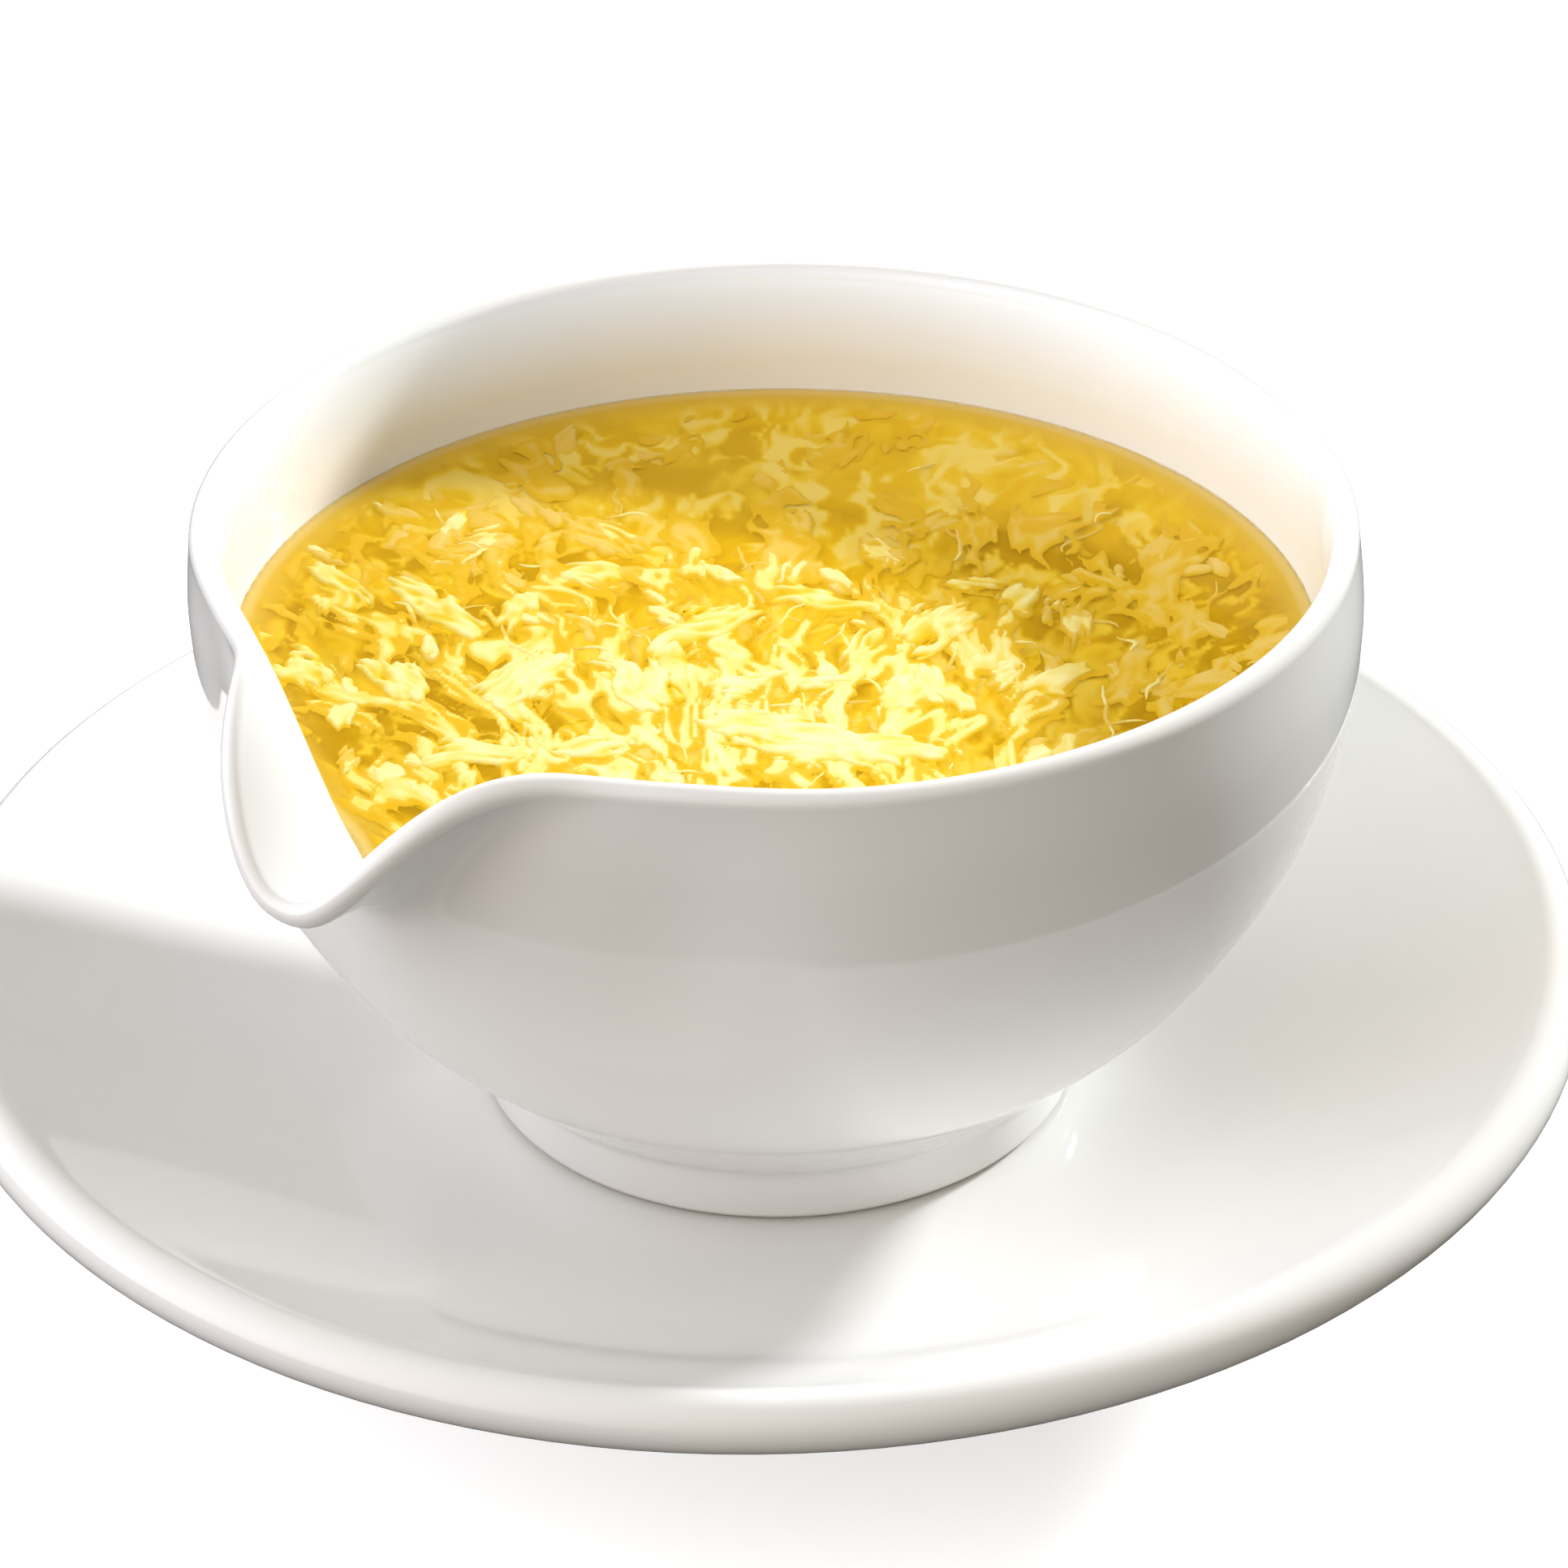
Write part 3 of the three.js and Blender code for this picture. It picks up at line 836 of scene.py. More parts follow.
@dataclass
class Grid:
    """A grid of places in a plane, from which a thin closed sheet is cut.

    The sheet's edge follows where inside passes zero. It thins to nothing there, so its top and
    bottom meet in one edge.

    Args:
        x: places of the grid across.
        y: places of the grid along.
        inside: above zero where there is egg.
        middle: height of the sheet's middle.
        body: kept for each place, for the finish.
        thickness: of the sheet away from its edge.
        taper: up to which value of inside the sheet thins towards its edge.
        least: how near to zero inside comes, which keeps slivers out.
    """

    x: Array
    y: Array
    inside: Array
    middle: Array
    body: Array
    thickness: float
    taper: float = 0.25
    least: float = 0.02

    def triangles(self) -> Array:
        """Two triangles for each cell, with the diagonals turned alternately."""
        rows, columns = self.inside.shape
        index = np.arange(rows * columns).reshape(rows, columns)
        a, b, c, d = index[:-1, :-1], index[:-1, 1:], index[1:, 1:], index[1:, :-1]
        odd = (np.indices(a.shape).sum(0) % 2).astype(bool)[..., None]
        first = np.where(odd, np.stack([a, b, d], -1), np.stack([a, b, c], -1))
        second = np.where(odd, np.stack([b, c, d], -1), np.stack([a, c, d], -1))
        return np.concatenate([first.reshape(-1, 3), second.reshape(-1, 3)])

    def cut(self) -> Sheet:
        """Cuts the sheet out."""
        f = self.inside.ravel().copy()
        f[np.abs(f) < self.least] = self.least
        triangles = self.triangles()
        count = (f[triangles] > 0).sum(1)
        whole = triangles[count == 3]

        def turned(which: Array, sign: float) -> Array:
            """Turns each triangle round until its odd corner comes first."""
            t = triangles[which]
            lone = np.argmax(f[t] * sign > 0, 1)
            return t[np.arange(len(t))[:, None], (lone[:, None] + np.arange(3)) % 3]

        # triangles with one corner inside, and with two, are clipped where inside passes zero
        one, two = turned(count == 1, 1), turned(count == 2, -1)
        ends = np.concatenate([one[:, [0, 1]], one[:, [0, 2]], two[:, [0, 1]], two[:, [0, 2]]])
        ends.sort(axis=1)
        edges, where = np.unique(ends, axis=0, return_inverse=True)
        where = where.reshape(-1)
        rim_one = where[: 2 * len(one)].reshape(2, -1)
        rim_two = where[2 * len(one) :].reshape(2, -1)
        flat = np.stack([self.x.ravel(), self.y.ravel(), self.middle.ravel()], -1)
        share = (f[edges[:, 0]] / (f[edges[:, 0]] - f[edges[:, 1]]))[:, None]
        rim = flat[edges[:, 0]] * (1 - share) + flat[edges[:, 1]] * share
        # the places inside are numbered anew, for the upper side and then for the lower one
        kept = np.flatnonzero(f > 0)
        number = np.full(len(f), -1)
        number[kept] = np.arange(len(kept))
        half = np.sqrt(np.clip(f[kept] / self.taper, 0, 1)) * self.thickness / 2
        lift = np.stack([np.zeros_like(half), np.zeros_like(half), half], -1)
        start = 2 * len(kept)

        def one_side(offset: int) -> Array:
            """The triangles of one face of the sheet."""
            a, b = number[two[:, 1]] + offset, number[two[:, 2]] + offset
            p, q = rim_two[0] + start, rim_two[1] + start
            return np.concatenate([
                number[whole] + offset,
                np.stack([number[one[:, 0]] + offset, rim_one[0] + start, rim_one[1] + start], -1),
                np.stack([p, a, b], -1),
                np.stack([p, b, q], -1),
            ])

        values = self.body.ravel()
        return Sheet(
            np.concatenate([flat[kept] + lift, flat[kept] - lift, rim]),
            np.concatenate([one_side(0), one_side(len(kept))[:, ::-1]]),
            np.concatenate([values[kept], values[kept], values[edges].mean(1)]),
            np.repeat([1.0, -1.0, 1.0], [len(kept), len(kept), len(edges)]),
        )


def softened(grid: Array, times: int) -> Array:
    """A grid blurred a number of times by its neighbours."""
    for _ in range(times):
        padded = np.pad(grid, 1, mode="edge")
        grid = (padded[:-2, 1:-1] + padded[2:, 1:-1] + padded[1:-1, :-2] + padded[1:-1, 2:] + 4 * grid) / 8
    return grid


def eased(value: Array, low: float, high: float) -> Array:
    """From 0 at the low value to 1 at the high one, smoothly."""
    t = np.clip((value - low) / (high - low), 0, 1)
    return t * t * (3 - 2 * t)


@dataclass(frozen=True)
class Drift:
    """How the egg was drawn out as the soup was stirred, as patterns over the bowl.

    Its streaks fan out from a point in front of the bowl, and wander.

    Args:
        seed: picks the patterns.
        size: width of the clumps, in millimetres.
        coarse: how wide the strands and folds are beside the usual ones.
        ripple: how far the streaks wander over a few millimetres.
        wander: how far they wander over the bowl.
        stretch: how much longer than wide the clumps are.
        focus: the point that they fan out from.
    """

    seed: int
    size: float = 5.5
    coarse: float = 1.0
    ripple: float = 1.3
    wander: float = 5.0
    stretch: float = 2.3
    focus: tuple[float, float] = (4.0, -98.0)

    def streamed(self, x: Array, y: Array) -> tuple[Array, Array]:
        """How far along and across the streaks each place lies."""

        def shifted(value: Array, seed: int) -> Array:
            """A coordinate moved by a broad wander and a fine ripple."""
            broad, fine = Rumple(seed).once(x / 15, y / 15), Rumple(seed + 1).once(x / 4.5, y / 4.5)
            return value + self.wander * broad + self.ripple * fine

        dx = shifted(x, self.seed) - self.focus[0]
        dy = shifted(y, self.seed + 2) - self.focus[1]
        return np.hypot(dx, dy), -self.focus[1] * np.arctan2(dx, dy)

    def patterns(self, x: Array, y: Array) -> tuple[Array, Array, Array]:
        """The patterns at each place, measured from the bowl's axis."""
        return self.drawn(*self.streamed(x, y))

    def drawn(self, along: Array, across: Array) -> tuple[Array, Array, Array]:
        """The patterns at each distance along and across the streaks.

        Args:
            along: distances along the streaks.
            across: distances across them.

        Returns:
            Clumps from about -0.7 to 0.7, and strands and folds from 0 to about 1.
        """
        clumps = Rumple(self.seed + 4).layered(along / (self.stretch * self.size), across / self.size, 3)
        strands = Rumple(self.seed + 5).ridged(along / (8 * self.coarse), across / (2.4 * self.coarse))
        folds = Rumple(self.seed + 6).ridged(along / (8 * self.coarse), across / (3.6 * self.coarse))
        return clumps, strands, folds

    def heading(self, x: float) -> float:
        """Which way the streaks run at a place across the bowl, in degrees from +X."""
        return math.degrees(math.atan2(-self.focus[1], x - self.focus[0]))


def settled(x: Array, y: Array) -> Array:
    """How far the egg has sunk: 0 in the heap in the middle, and 1 at the back and near it at the right."""
    return np.maximum(eased(y, 2, 42), 0.7 * eased(x, 22, 48))


def mound(x: Array, y: Array, middle: tuple[float, float], size: tuple[float, float]) -> Array:
    """A smooth mound that is 1 at its middle and fades over its size to all sides."""
    return np.exp(-(((x - middle[0]) / size[0]) ** 2 + ((y - middle[1]) / size[1]) ** 2))


def crowd(x: Array, y: Array) -> Array:
    """How much egg lies at the top: most in the middle and front, least at the back."""
    front = 0.35 / (1 + np.exp((y - 14) / 7))
    heap = 0.65 * mound(x, y, (-4, -22), (27, 20))
    left = 0.3 * mound(x, y, (-28, 20), (16, 12))
    return np.minimum(1.0, 0.04 + front + heap + left)


def paleness(x: Array, y: Array, folds: Array, strands: Array, base: float) -> Array:
    """How pale the egg is: palest on its folds and strands, and where it lies thickest, in the heap.

    Args:
        x: places across, from the bowl's axis.
        y: places along.
        folds: the folds at each place.
        strands: the strands at each place.
        base: how pale it is in the hollows.

    Returns:
        From about 0 for the deepest yellow to 1 for cream.
    """
    cream = 0.6 * crowd(x, y) - 0.4
    return base + 0.45 * folds + 0.45 * strands**2 + cream


def add_egg(name: str, sheet: Sheet, finish: bpy.types.Material, node: str) -> None:
    """Makes, dresses and seats a piece of egg, which is thin enough to throw no shadow.

    Args:
        name: the piece's name.
        sheet: its mesh.
        finish: its material.
        node: the CAD node that it replaces.
    """
    piece = object_of(name, sheet.places, sheet.faces, {"body": sheet.body})
    piece.data.materials.append(finish)
    soften_light(piece, sheet.side)
    piece.visible_shadow = False
    seat(piece, [node])


@dataclass
class Veil:
    """One thin torn flake of egg with wrinkles along its length.

    Args:
        length: along the flake.
        width: across it.
        crumple: how high its folds stand.
        seed: picks its tears and folds.
        cell: size of the grid it is cut from.
        thickness: of the egg.
        tear: how deep its edge is torn.
        droop: how far its edge hangs down.
        margin: how much larger than the flake its grid is.
    """

    length: float
    width: float
    crumple: float
    seed: int
    cell: float = 0.5
    thickness: float = 0.2
    tear: float = 0.8
    droop: float = 0.2
    margin: float = 1.35

    def sheet(self) -> Sheet:
        """Cuts the flake about its own middle, longest along X."""
        along = np.arange(-self.length / 2 * self.margin, self.length / 2 * self.margin, self.cell)
        across = np.arange(-self.width / 2 * self.margin, self.width / 2 * self.margin, self.cell * 0.8)
        x, y = np.meshgrid(along, across)
        fine = min(1.0, 0.3 + self.length / 14)
        clumps, strands, folds = Drift(self.seed, 4.5 * fine, 0.8 * fine, 1.8 * fine).patterns(y, x)
        outline = 0.7 - np.abs(x / (self.length / 2)) ** 2.2 - (y / (self.width / 2)) ** 2
        inside = outline + self.tear * clumps + 0.6 * (strands - 0.5)
        rise = eased(inside, 0, 0.5)
        middle = self.crumple * (0.3 * folds + 0.1 * strands) * rise - self.droop * (1 - rise)
        body = np.clip(rise * (0.15 + 0.45 * folds + 0.4 * strands), 0, 1)
        return Grid(x, y, inside, middle, body, self.thickness).cut()

    def laid(self, x: float, y: float, z: float, heading: float, tilt: tuple[float, float] = (0, 0)) -> Sheet:
        """The flake turned and put in its place.

        Args:
            x: of its middle.
            y: of its middle.
            z: of its middle.
            heading: of its length, in degrees from +X.
            tilt: slopes along and across it.

        Returns:
            The sheet in its place.
        """
        sheet = self.sheet()
        p = sheet.places
        turn = math.radians(heading)
        across = x + p[:, 0] * math.cos(turn) - p[:, 1] * math.sin(turn)
        along = y + p[:, 0] * math.sin(turn) + p[:, 1] * math.cos(turn)
        sheet.places = np.stack([across, along, z + p[:, 2] + p[:, 0] * tilt[0] + p[:, 1] * tilt[1]], -1)
        return sheet


@dataclass
class LargeFlake:
    """A large flake of egg that keeps the outline and height of its CAD node, torn and wrinkled.

    Args:
        node: the CAD node's name.
        number: counts the flakes, and picks the wrinkles.
        level: height of the broth.
        cell: size of the grid it is cut from.
        margin: how far its grid runs past the node.
        thickness: of the egg.
        flatness: share of the node's height over the broth that is kept.
        settle: how far every flake is sunk.
        sinking: how much further one is sunk where the egg has settled.
        droop: how far its edge hangs down.
        blur: how many times the node's outline is blurred.
    """

    node: str
    number: int
    level: float
    cell: float = 0.27
    margin: float = 3.0
    thickness: float = 0.16
    flatness: float = 0.35
    settle: float = 0.6
    sinking: float = 1.1
    droop: float = 0.2
    blur: int = 45

    def footprint(self) -> tuple[Array, Array, Array, Array]:
        """Grid places over the node, with how much it covers them and how high its top is."""
        low, high = (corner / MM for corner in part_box(self.node))
        x, y = np.meshgrid(
            np.arange(low.x - self.margin, high.x + self.margin, self.cell),
            np.arange(low.y - self.margin, high.y + self.margin, self.cell),
        )
        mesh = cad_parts[self.node].data
        tree = BVHTree.FromPolygons([v.co for v in mesh.vertices], [p.vertices for p in mesh.polygons])
        down, above = Vector((0, 0, -1)), (high.z + 1) * MM
        hits = [tree.ray_cast(Vector((a * MM, b * MM, above)), down)[0] for a, b in zip(x.flat, y.flat)]
        there = np.array([h is not None for h in hits], float).reshape(x.shape)
        top = np.array([h.z / MM if h is not None else 0.0 for h in hits]).reshape(x.shape)
        cover = softened(there, self.blur)
        height = softened(top * there, self.blur) / np.maximum(cover, 1e-3)
        return x, y, cover, np.where(cover > 0.02, height, low.z)

    def own_axes(self, x: Array, y: Array, cover: Array) -> tuple[Array, Array]:
        """Distances along and across the flake from its middle."""
        weight = cover / cover.sum()
        dx, dy = x - (x * weight).sum(), y - (y * weight).sum()
        spread = np.array([
            [(weight * dx * dx).sum(), (weight * dx * dy).sum()],
            [(weight * dx * dy).sum(), (weight * dy * dy).sum()],
        ])
        axis = np.linalg.eigh(spread)[1][:, 1]
        return dx * axis[0] + dy * axis[1], dy * axis[0] - dx * axis[1]

    def sheet(self) -> Sheet:
        """Cuts the flake over the CAD node's own outline."""
        x, y, cover, height = self.footprint()
        u, v = self.own_axes(x, y, cover)
        bend = Rumple(self.number)
        u, v = u + 2 * bend.once(u / 6, v / 6), v + 2.5 * bend.once(u / 7 + 9, v / 7)
        clumps, strands, folds = Drift(900 + 7 * self.number, 3.2, 0.75).drawn(u, v)
        inside = 1.8 * (cover - 0.33) + 1.2 * clumps + 0.8 * (strands - 0.5)
        rise = eased(inside, 0, 0.6)
        lifted = self.level + self.flatness * (height - self.level)
        depth = self.settle + self.sinking * settled(x.mean(), y.mean())
        middle = lifted - depth + (0.2 * folds + 0.1 * strands) * rise - self.droop * (1 - rise)
        body = np.clip(rise * paleness(x, y, folds, strands, 0.15), 0, 1)
        return Grid(x, y, inside, middle, body, self.thickness).cut()

    def build(self, finish: bpy.types.Material) -> None:
        """Models and dresses the flake."""
        add_egg(f"egg_ribbon_{self.number:02d}", self.sheet(), finish, self.node)


@dataclass
class EggCloud:
    """The golden depths under the clear layer, with clouds and veils of sunken egg in them.

    They are one field of heights: golden broth lies deep, and egg rises in streaks towards the level.

    Args:
        bowl: that holds them.
        broth: the clear layer.
        seed: picks the patterns.
        reach: half the width of the grid that they are cut from.
        cell: size of that grid.
        deepest: depth of the golden broth.
        rise: how far the egg rises above it.
        wall_depth: depth at the wall.
        wall_reach: how far from the wall the field starts to rise towards it.
        thickness: of the field.
    """

    bowl: Bowl
    broth: Broth
    seed: int = 77
    reach: float = 61
    cell: float = 0.5
    deepest: float = 1.1
    rise: float = 0.5
    wall_depth: float = 0.33
    wall_reach: float = 6.0
    thickness: float = 0.5

    def sheet(self) -> tuple[Sheet, Array]:
        """Cuts the field to the bowl's inside.

        Returns:
            The sheet, and how near to the wall each of its places is.
        """
        x, y = square(self.reach, self.cell)
        room = self.broth.room(self.wall_depth)
        gap = room(x, y)
        near = 1 - eased(gap, 0, self.wall_reach)
        clumps, strands, folds = Drift(self.seed, 8.0, 1.6, 1.0).patterns(x, y)
        egg = eased(clumps + 0.45 * (crowd(x, y) - 0.4) + 0.2 * (strands - 0.5), -0.3, 0.35)
        egg = egg * (1 - 0.6 * near)
        depth = self.deepest - self.rise * egg * (0.7 + 0.3 * folds)
        creep = self.broth.creep * np.exp(-np.clip(gap, 0, None) / self.broth.creep_width)
        depth = depth * (1 - near) + self.wall_depth * near - creep
        clumps, strands, folds = Drift(self.seed + 20, 5.0, ripple=1.8).patterns(x, y)
        veils = eased(clumps + 0.3 * (crowd(x, y) - 0.3) + 0.5 * (strands - 0.5), -0.05, 0.3) * (1 - near)
        # paler towards the back; at the sides of the front the body mark drops below zero, which darkens the
        # broth with painted shade
        paler_back = 0.22 * eased(y, 8, 38)
        # painted shade mask: darkens the broth at the sides of the front
        clear = 0.35 * eased(np.abs(x - 3), 12, 36) * eased(-y, -30, 0)
        body = np.maximum(0.5 * egg * folds, veils * (0.3 + 0.3 * folds + 0.4 * strands)) + paler_back - clear
        sheet = Grid(x, y, gap / 0.3, -depth, body, self.thickness).cut()
        sheet.places[:, 2] += self.broth.level
        return sheet, 1 - eased(room(sheet.places[:, 0], sheet.places[:, 1]), 0, self.wall_reach)

    def build(self) -> None:
        """Models and dresses the depths."""
        sheet, edge = self.sheet()
        piece = object_of(
            "broth_depths", self.bowl.placed(sheet.places), sheet.faces, {"body": sheet.body, "edge": edge}
        )
        piece.data.materials.append(GoldenBroth().material())
        soften_light(piece, sheet.side, relief=3.0)
        seat(piece, ["soup"])


@dataclass
class VeilLayer:
    """Torn veils of egg that drift over the whole bowl at about one depth.

    Args:
        broth: that they drift in.
        drift: its patterns.
        depth: of the veils' middle below the level.
        relief: how high their folds stand.
        crowding: how much the crowding counts.
        even: the crowding at which half of the surface is covered.
        reach: half the width of the grid that they are cut from.
        cell: size of that grid.
        thickness: of the egg.
        droop: how far its edges hang down.
        clearance: how far they stay from the wall.
        sinking: how much further they are sunk where the egg has settled.
    """

    broth: Broth
    drift: Drift
    depth: float
    relief: float
    crowding: float
    even: float
    reach: float = 58
    cell: float = 0.42
    thickness: float = 0.14
    droop: float = 0.15
    clearance: float = 2.0
    sinking: float = 0.5

    def sheet(self) -> Sheet:
        """Cuts the veils, about the bowl's axis and the broth's level."""
        x, y = square(self.reach, self.cell)
        clumps, strands, folds = self.drift.patterns(x, y)
        inside = clumps + self.crowding * (crowd(x, y) - self.even) + 0.5 * (strands - 0.5)
        gap = self.broth.room(self.depth + self.relief)(x, y)
        inside = np.minimum(inside, (gap - self.clearance) / 4)
        rise = eased(inside, 0, 0.5)
        folded = self.relief * (0.7 * folds + 0.3 * strands - 0.5) * rise
        middle = folded - self.droop * (1 - rise) - self.depth - self.sinking * settled(x, y)
        body = np.clip(rise * paleness(x, y, folds, strands, 0.1), 0, 1)
        return Grid(x, y, inside, middle, body, self.thickness).cut()


def spot(draw: np.random.Generator, reach: float) -> tuple[float, float]:
    """A random place within a distance of the bowl's axis."""
    r, a = reach * math.sqrt(draw.random()), 2 * math.pi * draw.random()
    return r * math.cos(a), r * math.sin(a)


@dataclass
class EggDrop:
    """All the egg that lies free in the soup: large flakes, veils, small flakes and threads.

    Args:
        bowl: that holds the soup.
        broth: that the egg lies in.
        small: how many small flakes there are.
        reach: how far from the bowl's axis they lie.
        sizes: their least and greatest length.
        depths: least and greatest depth of their middles below the level.
        sinking: how much further they are sunk where the egg has settled.
        turning: how far their headings stray from the streaks, in degrees.
        threads: how many threads there are.
        thread_lengths: their least and greatest length.
        thread_sizes: their least and greatest radius.
        thread_reach: how far from the bowl's axis they start.
        thread_room: how far from the wall they start.
        seed: picks the places.
    """

    bowl: Bowl
    broth: Broth
    small: int = 90
    reach: float = 60
    sizes: tuple[float, float] = (5, 13)
    depths: tuple[float, float] = (0.0, 0.5)
    sinking: float = 0.6
    turning: float = 28
    threads: int = 70
    thread_lengths: tuple[float, float] = (4, 12)
    thread_sizes: tuple[float, float] = (0.14, 0.3)
    thread_reach: float = 52
    thread_room: float = 13
    seed: int = 41

    def scattered(self) -> Sheet:
        """Many small flakes as one sheet, placed by a seeded rule where the egg crowds."""
        draw = np.random.default_rng(self.seed)
        gap = self.broth.room(self.depths[1])
        sheets: list[Sheet] = []
        while len(sheets) < self.small:
            x, y = spot(draw, self.reach)
            length = self.sizes[0] + (self.sizes[1] - self.sizes[0]) * draw.random() ** 2
            if draw.random() > crowd(x, y) + 0.15 or gap(x, y) < length / 2 + 1:
                continue
            heading = Drift(0).heading(x) + self.turning * draw.standard_normal()
            veil = Veil(
                length,
                length * draw.uniform(0.25, 0.5),
                crumple=draw.uniform(0.35, 0.9) * min(length / 7, 1.1),
                seed=int(draw.integers(1, 4000)),
                cell=max(0.3, length / 34),
                thickness=draw.uniform(0.1, 0.16),
            )
            z = self.broth.top() - draw.uniform(*self.depths) - self.sinking * settled(x, y)
            tilt = tuple(draw.uniform(-0.12, 0.12, 2))
            sheets.append(veil.laid(x + self.bowl.axis_x, y, z, heading, tilt))
        return Sheet.joined(sheets)

    def layer(self, drift: Drift, **sizes: float) -> Sheet:
        """A layer of veils in its place in the part's frame."""
        sheet = VeilLayer(self.broth, drift, **sizes).sheet()
        sheet.places += np.array([self.bowl.axis_x, 0, self.broth.top()])
        return sheet

    def thread(self, draw: np.random.Generator, x: float, y: float) -> Sheet:
        """One fine thread of egg, a flattened tube along a wandering line."""
        steps, sides, flatness = 12, 6, 0.6
        length, size = draw.uniform(*self.thread_lengths), draw.uniform(*self.thread_sizes)
        t = np.linspace(0, 1, steps + 1)
        turn = math.radians(Drift(0).heading(x)) + 0.5 * draw.standard_normal()
        turn = turn + 0.9 * np.cumsum(draw.standard_normal(steps + 1)) / steps**0.5
        px = x + np.cumsum(np.cos(turn)) * length / steps
        py = y + np.cumsum(np.sin(turn)) * length / steps
        pz = self.broth.top() + draw.uniform(-0.6, 0.2)
        pz = pz + 0.35 * np.sin(t * draw.uniform(2, 7) + draw.uniform(0, 6))
        girth = size * np.sqrt(np.sin(math.pi * (0.04 + 0.92 * t)))
        ring = np.arange(sides) * 2 * math.pi / sides
        across = np.stack([-np.sin(turn), np.cos(turn), 0 * turn], -1)
        centre = np.stack([px, py, pz], -1)
        up = np.array([0, 0, flatness])
        rings = centre[:, None] + girth[:, None, None] * (
            across[:, None] * np.cos(ring)[None, :, None] + up * np.sin(ring)[None, :, None]
        )
        places, faces = shell(rings)
        triangles = [[f[0], f[k], f[k + 1]] for f in faces for k in range(1, len(f) - 1)]
        share = np.full(len(places), 0.6)
        return Sheet(places, np.array(triangles), body=share, side=share)

    def fine_threads(self) -> Sheet:
        """All the fine threads."""
        draw = np.random.default_rng(self.seed + 5)
        gap = self.broth.room(1)
        sheets: list[Sheet] = []
        while len(sheets) < self.threads:
            x, y = spot(draw, self.thread_reach)
            if draw.random() > crowd(x, y) or gap(x, y) < self.thread_room:
                continue
            sheets.append(self.thread(draw, x + self.bowl.axis_x, y))
        return Sheet.joined(sheets)

    def build(self) -> None:
        """Models and dresses all the egg."""
        finish = CookedEgg(self.broth.top()).material()
        nodes = sorted(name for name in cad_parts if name.startswith("egg_flake_"))
        for number, node in enumerate(nodes, 1):
            LargeFlake(node, number, self.broth.top()).build(finish)
        kinds = {
            "egg_veils": self.layer(Drift(340, 5.0), depth=0.0, relief=0.2, crowding=0.55, even=0.48),
            "small_egg_flakes": self.scattered(),
            "egg_threads": self.fine_threads(),
        }
        for name, sheet in kinds.items():
            add_egg(name, sheet, finish, "soup")


# ---------------------------------------------------------------- studio


def way(azimuth: float, height: float) -> Vector:
    """The unit vector towards an azimuth from +X and a height above the horizon, in degrees."""
    a, h = math.radians(azimuth), math.radians(height)
    return Vector((math.cos(a) * math.cos(h), math.sin(a) * math.cos(h), math.sin(h)))


@dataclass(frozen=True)
class Glow:
    """A soft patch of light in the surround.

    Args:
        azimuth: from +X, in degrees.
        height: above the horizon, in degrees.
        colour: its linear colour and strength.
        focus: how narrow it is.
    """

    azimuth: float
    height: float
    colour: tuple[float, float, float]
    focus: float = 5.0


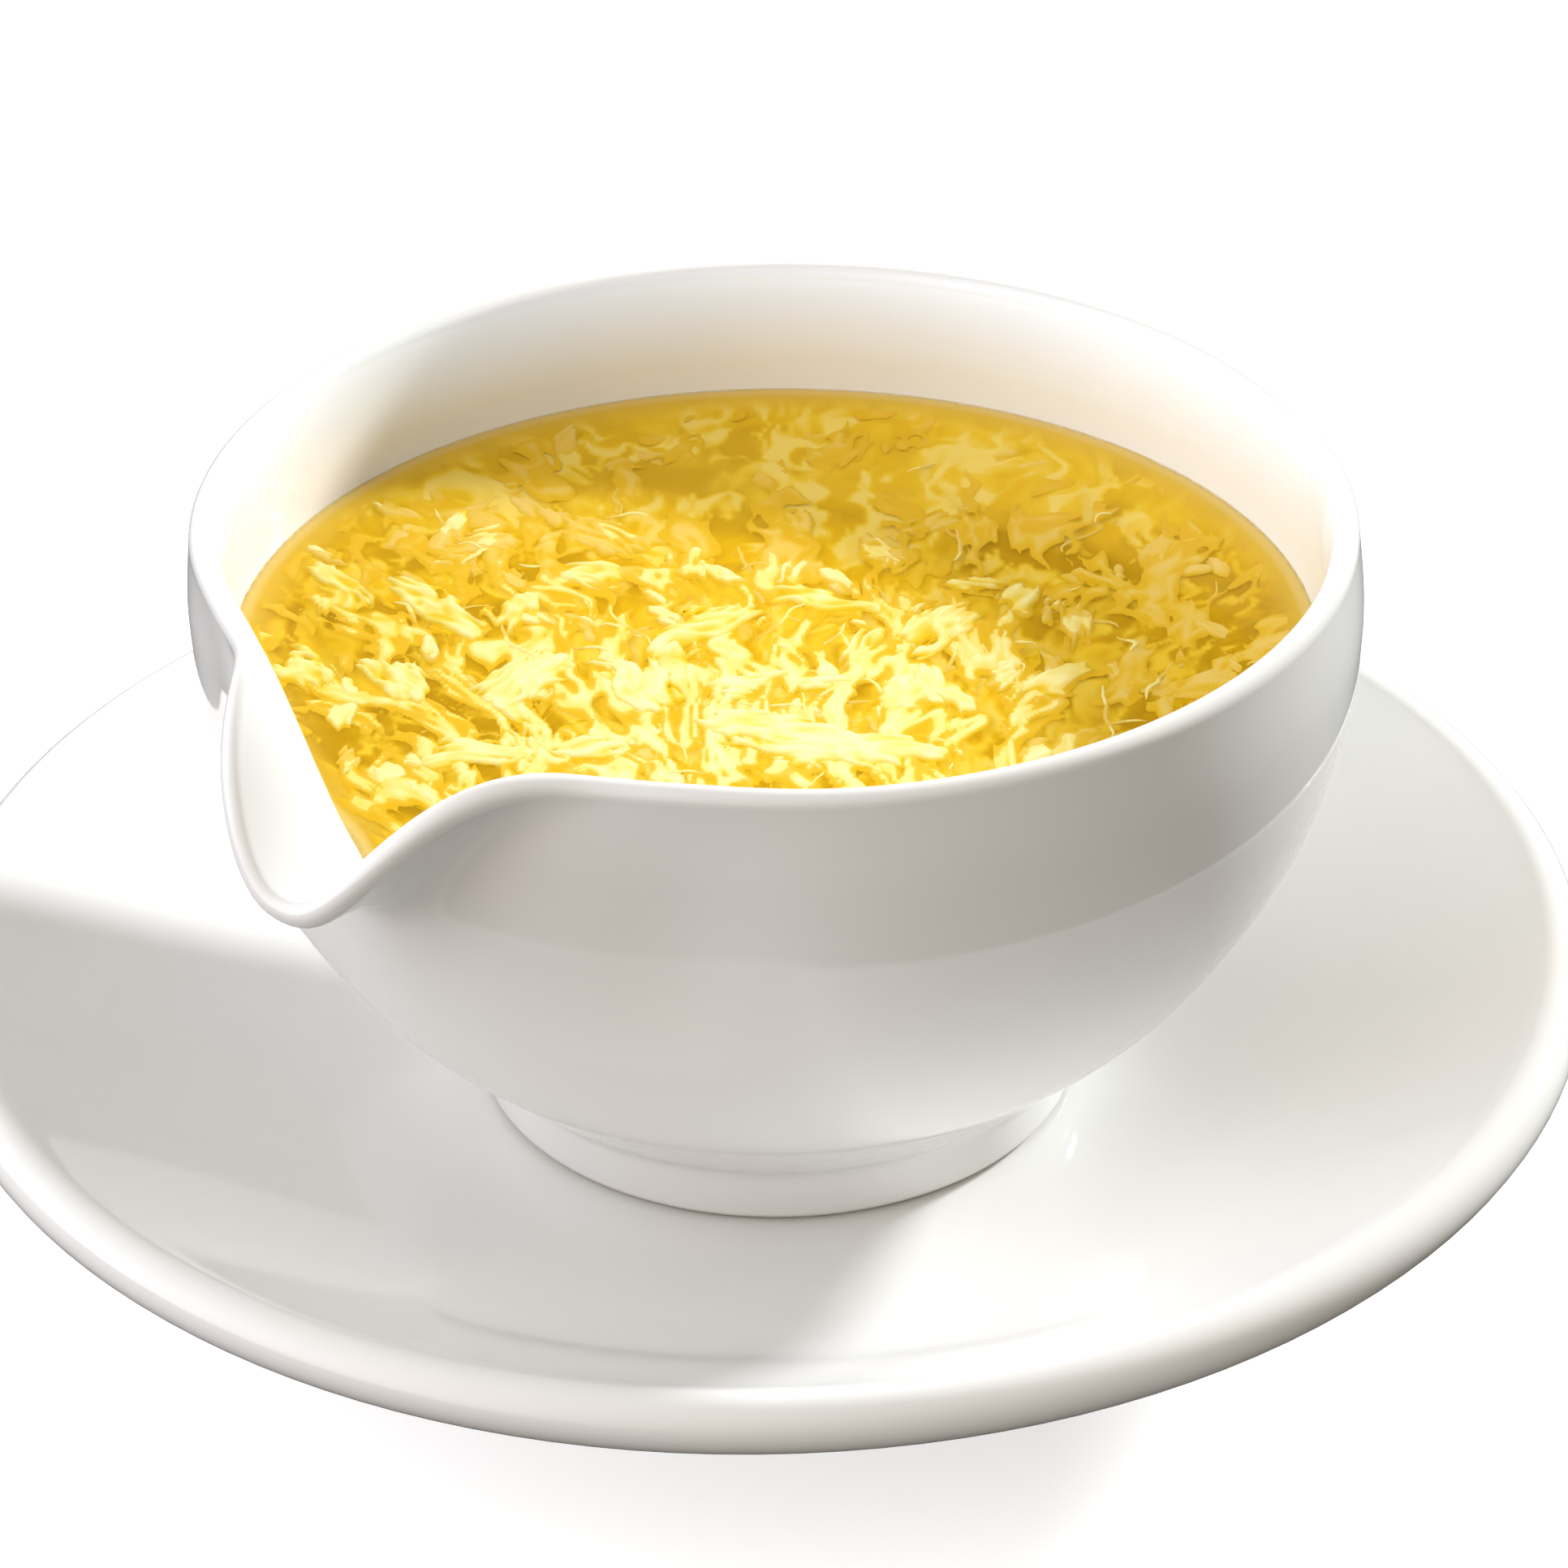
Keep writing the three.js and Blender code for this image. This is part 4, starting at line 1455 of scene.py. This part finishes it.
@dataclass
class Studio:
    """The camera, the lights and the floor.

    The camera was fitted to the photo: its place is in millimetres, its pitch looks down from the
    horizon, and its lens is for a 36 mm sensor. The key light's direction is an azimuth from +X and
    a height. Angles are in degrees.
    """

    camera_place: tuple[float, float, float] = (3.02, -408.4, 288.06)
    pitch: float = 30.9865
    roll: float = -0.518
    lens: float = 102.48
    key_direction: tuple[float, float] = (40.5, 20.5)
    key_distance: float = 3.0
    key_angle: float = 8.0
    key_power: float = 150.0
    key_colour: tuple[float, float, float] = (0.96, 0.99, 1.0)
    fill_place: tuple[float, float, float] = (2.2, 0, 65.5)
    fill_width: float = 86.0
    fill_power: float = 0.042
    fill_colour: tuple[float, float, float] = (0.25, 0.56, 1.0)
    glows: tuple[Glow, ...] = (
        Glow(0, 90, (0.20, 0.20, 0.20)),
        Glow(324, 50, (0.98, 0.94, 0.83)),
        Glow(90, 15, (0.28, 0.22, 0.22)),
        Glow(135, 15, (1.35, 1.38, 1.17)),
        Glow(180, 15, (2.35, 2.60, 3.10)),
        Glow(225, 15, (1.95, 1.64, 1.38)),
    )

    def camera(self) -> None:
        """Puts the camera where the photograph was taken from."""
        data = bpy.data.cameras.new("camera")
        data.sensor_width, data.lens = 36.0, self.lens
        data.clip_start, data.clip_end = 0.01, 50
        camera = bpy.data.objects.new("camera", data)
        bpy.context.scene.collection.objects.link(camera)
        tip = Matrix.Rotation(math.radians(90 - self.pitch), 4, "X")
        turn = Matrix.Rotation(math.radians(self.roll), 4, "Z")
        camera.matrix_world = Matrix.Translation(Vector(self.camera_place) * MM) @ tip @ turn
        bpy.context.scene.camera = camera

    def lamp(self, name: str, width: float, power: float, colour: Sequence[float]) -> bpy.types.Object:
        """A round area light that the camera doesn't see, at the origin and facing down."""
        data = bpy.data.lights.new(name, "AREA")
        data.shape = "DISK"
        data.size = width
        data.energy = power
        data.color = colour
        light = bpy.data.objects.new(name, data)
        light.visible_camera = False
        bpy.context.scene.collection.objects.link(light)
        return light

    def key(self) -> None:
        """The light from the back right."""
        width = 2 * self.key_distance * math.tan(math.radians(self.key_angle / 2))
        light = self.lamp("key", width, self.key_power, self.key_colour)
        towards = way(*self.key_direction)
        light.location = towards * self.key_distance
        light.rotation_euler = towards.to_track_quat("Z", "Y").to_euler()

    def fill(self) -> None:
        """A faint cool light inside the bowl, which offsets the yellow that the soup throws on its wall."""
        light = self.lamp("fill", self.fill_width * MM, self.fill_power, self.fill_colour)
        light.location = Vector(self.fill_place) * MM
        light.rotation_euler = (math.pi, 0, 0)
        light.visible_glossy = False

    def world(self) -> None:
        """A surround of soft glows, brightest at the left and dim at the front and right."""
        world = bpy.data.worlds.new("surround")
        world.use_nodes = True
        tree = world.node_tree

        def node(kind: str, operation: str, *inputs: object) -> bpy.types.NodeSocket:
            """Adds a maths node with its inputs set or joined."""
            new = tree.nodes.new(kind)
            new.operation = operation
            for socket, value in zip(new.inputs, inputs):
                if isinstance(value, bpy.types.NodeSocket):
                    tree.links.new(value, socket)
                else:
                    socket.default_value = value
            scalar = operation == "DOT_PRODUCT" or kind == "ShaderNodeMath"
            return new.outputs["Value" if scalar else "Vector"]

        view = tree.nodes.new("ShaderNodeTexCoord").outputs["Generated"]
        total: object = Vector((0.0, 0.0, 0.0))
        for glow in self.glows:
            facing = node("ShaderNodeVectorMath", "DOT_PRODUCT", view, way(glow.azimuth, glow.height))
            power = node("ShaderNodeMath", "MULTIPLY_ADD", facing, glow.focus, -glow.focus)
            strength = node("ShaderNodeMath", "EXPONENT", power)
            colour = tree.nodes.new("ShaderNodeVectorMath")
            colour.operation = "SCALE"
            colour.inputs[0].default_value = glow.colour
            tree.links.new(strength, colour.inputs["Scale"])
            total = node("ShaderNodeVectorMath", "ADD", colour.outputs["Vector"], total)
        tree.links.new(total, tree.nodes["Background"].inputs["Color"])
        bpy.context.scene.world = world

    def floor(self) -> None:
        """A plain floor, which isn't part of the object."""
        bpy.ops.object.select_all(action="DESELECT")
        bpy.ops.mesh.primitive_plane_add(size=12, location=(0, 0, 0))
        floor = bpy.context.object
        floor.name = "floor"
        floor.data.materials.append(StudioFloor().material())

    def build(self) -> None:
        """Sets up the studio."""
        bpy.context.scene.view_settings.view_transform = "Standard"
        self.camera()
        self.key()
        self.fill()
        self.world()
        self.floor()


def main() -> None:
    """Builds the studio, the porcelain, the broth and the egg, in that order."""
    logging.basicConfig(level=logging.INFO, format="%(name)s: %(message)s")
    Studio().build()
    Saucer().build()
    bowl = Bowl()
    bowl.build()
    broth = Broth(bowl)
    broth.build()
    EggCloud(bowl, broth).build()
    EggDrop(bowl, broth).build()


if __name__ == "__main__":
    main()
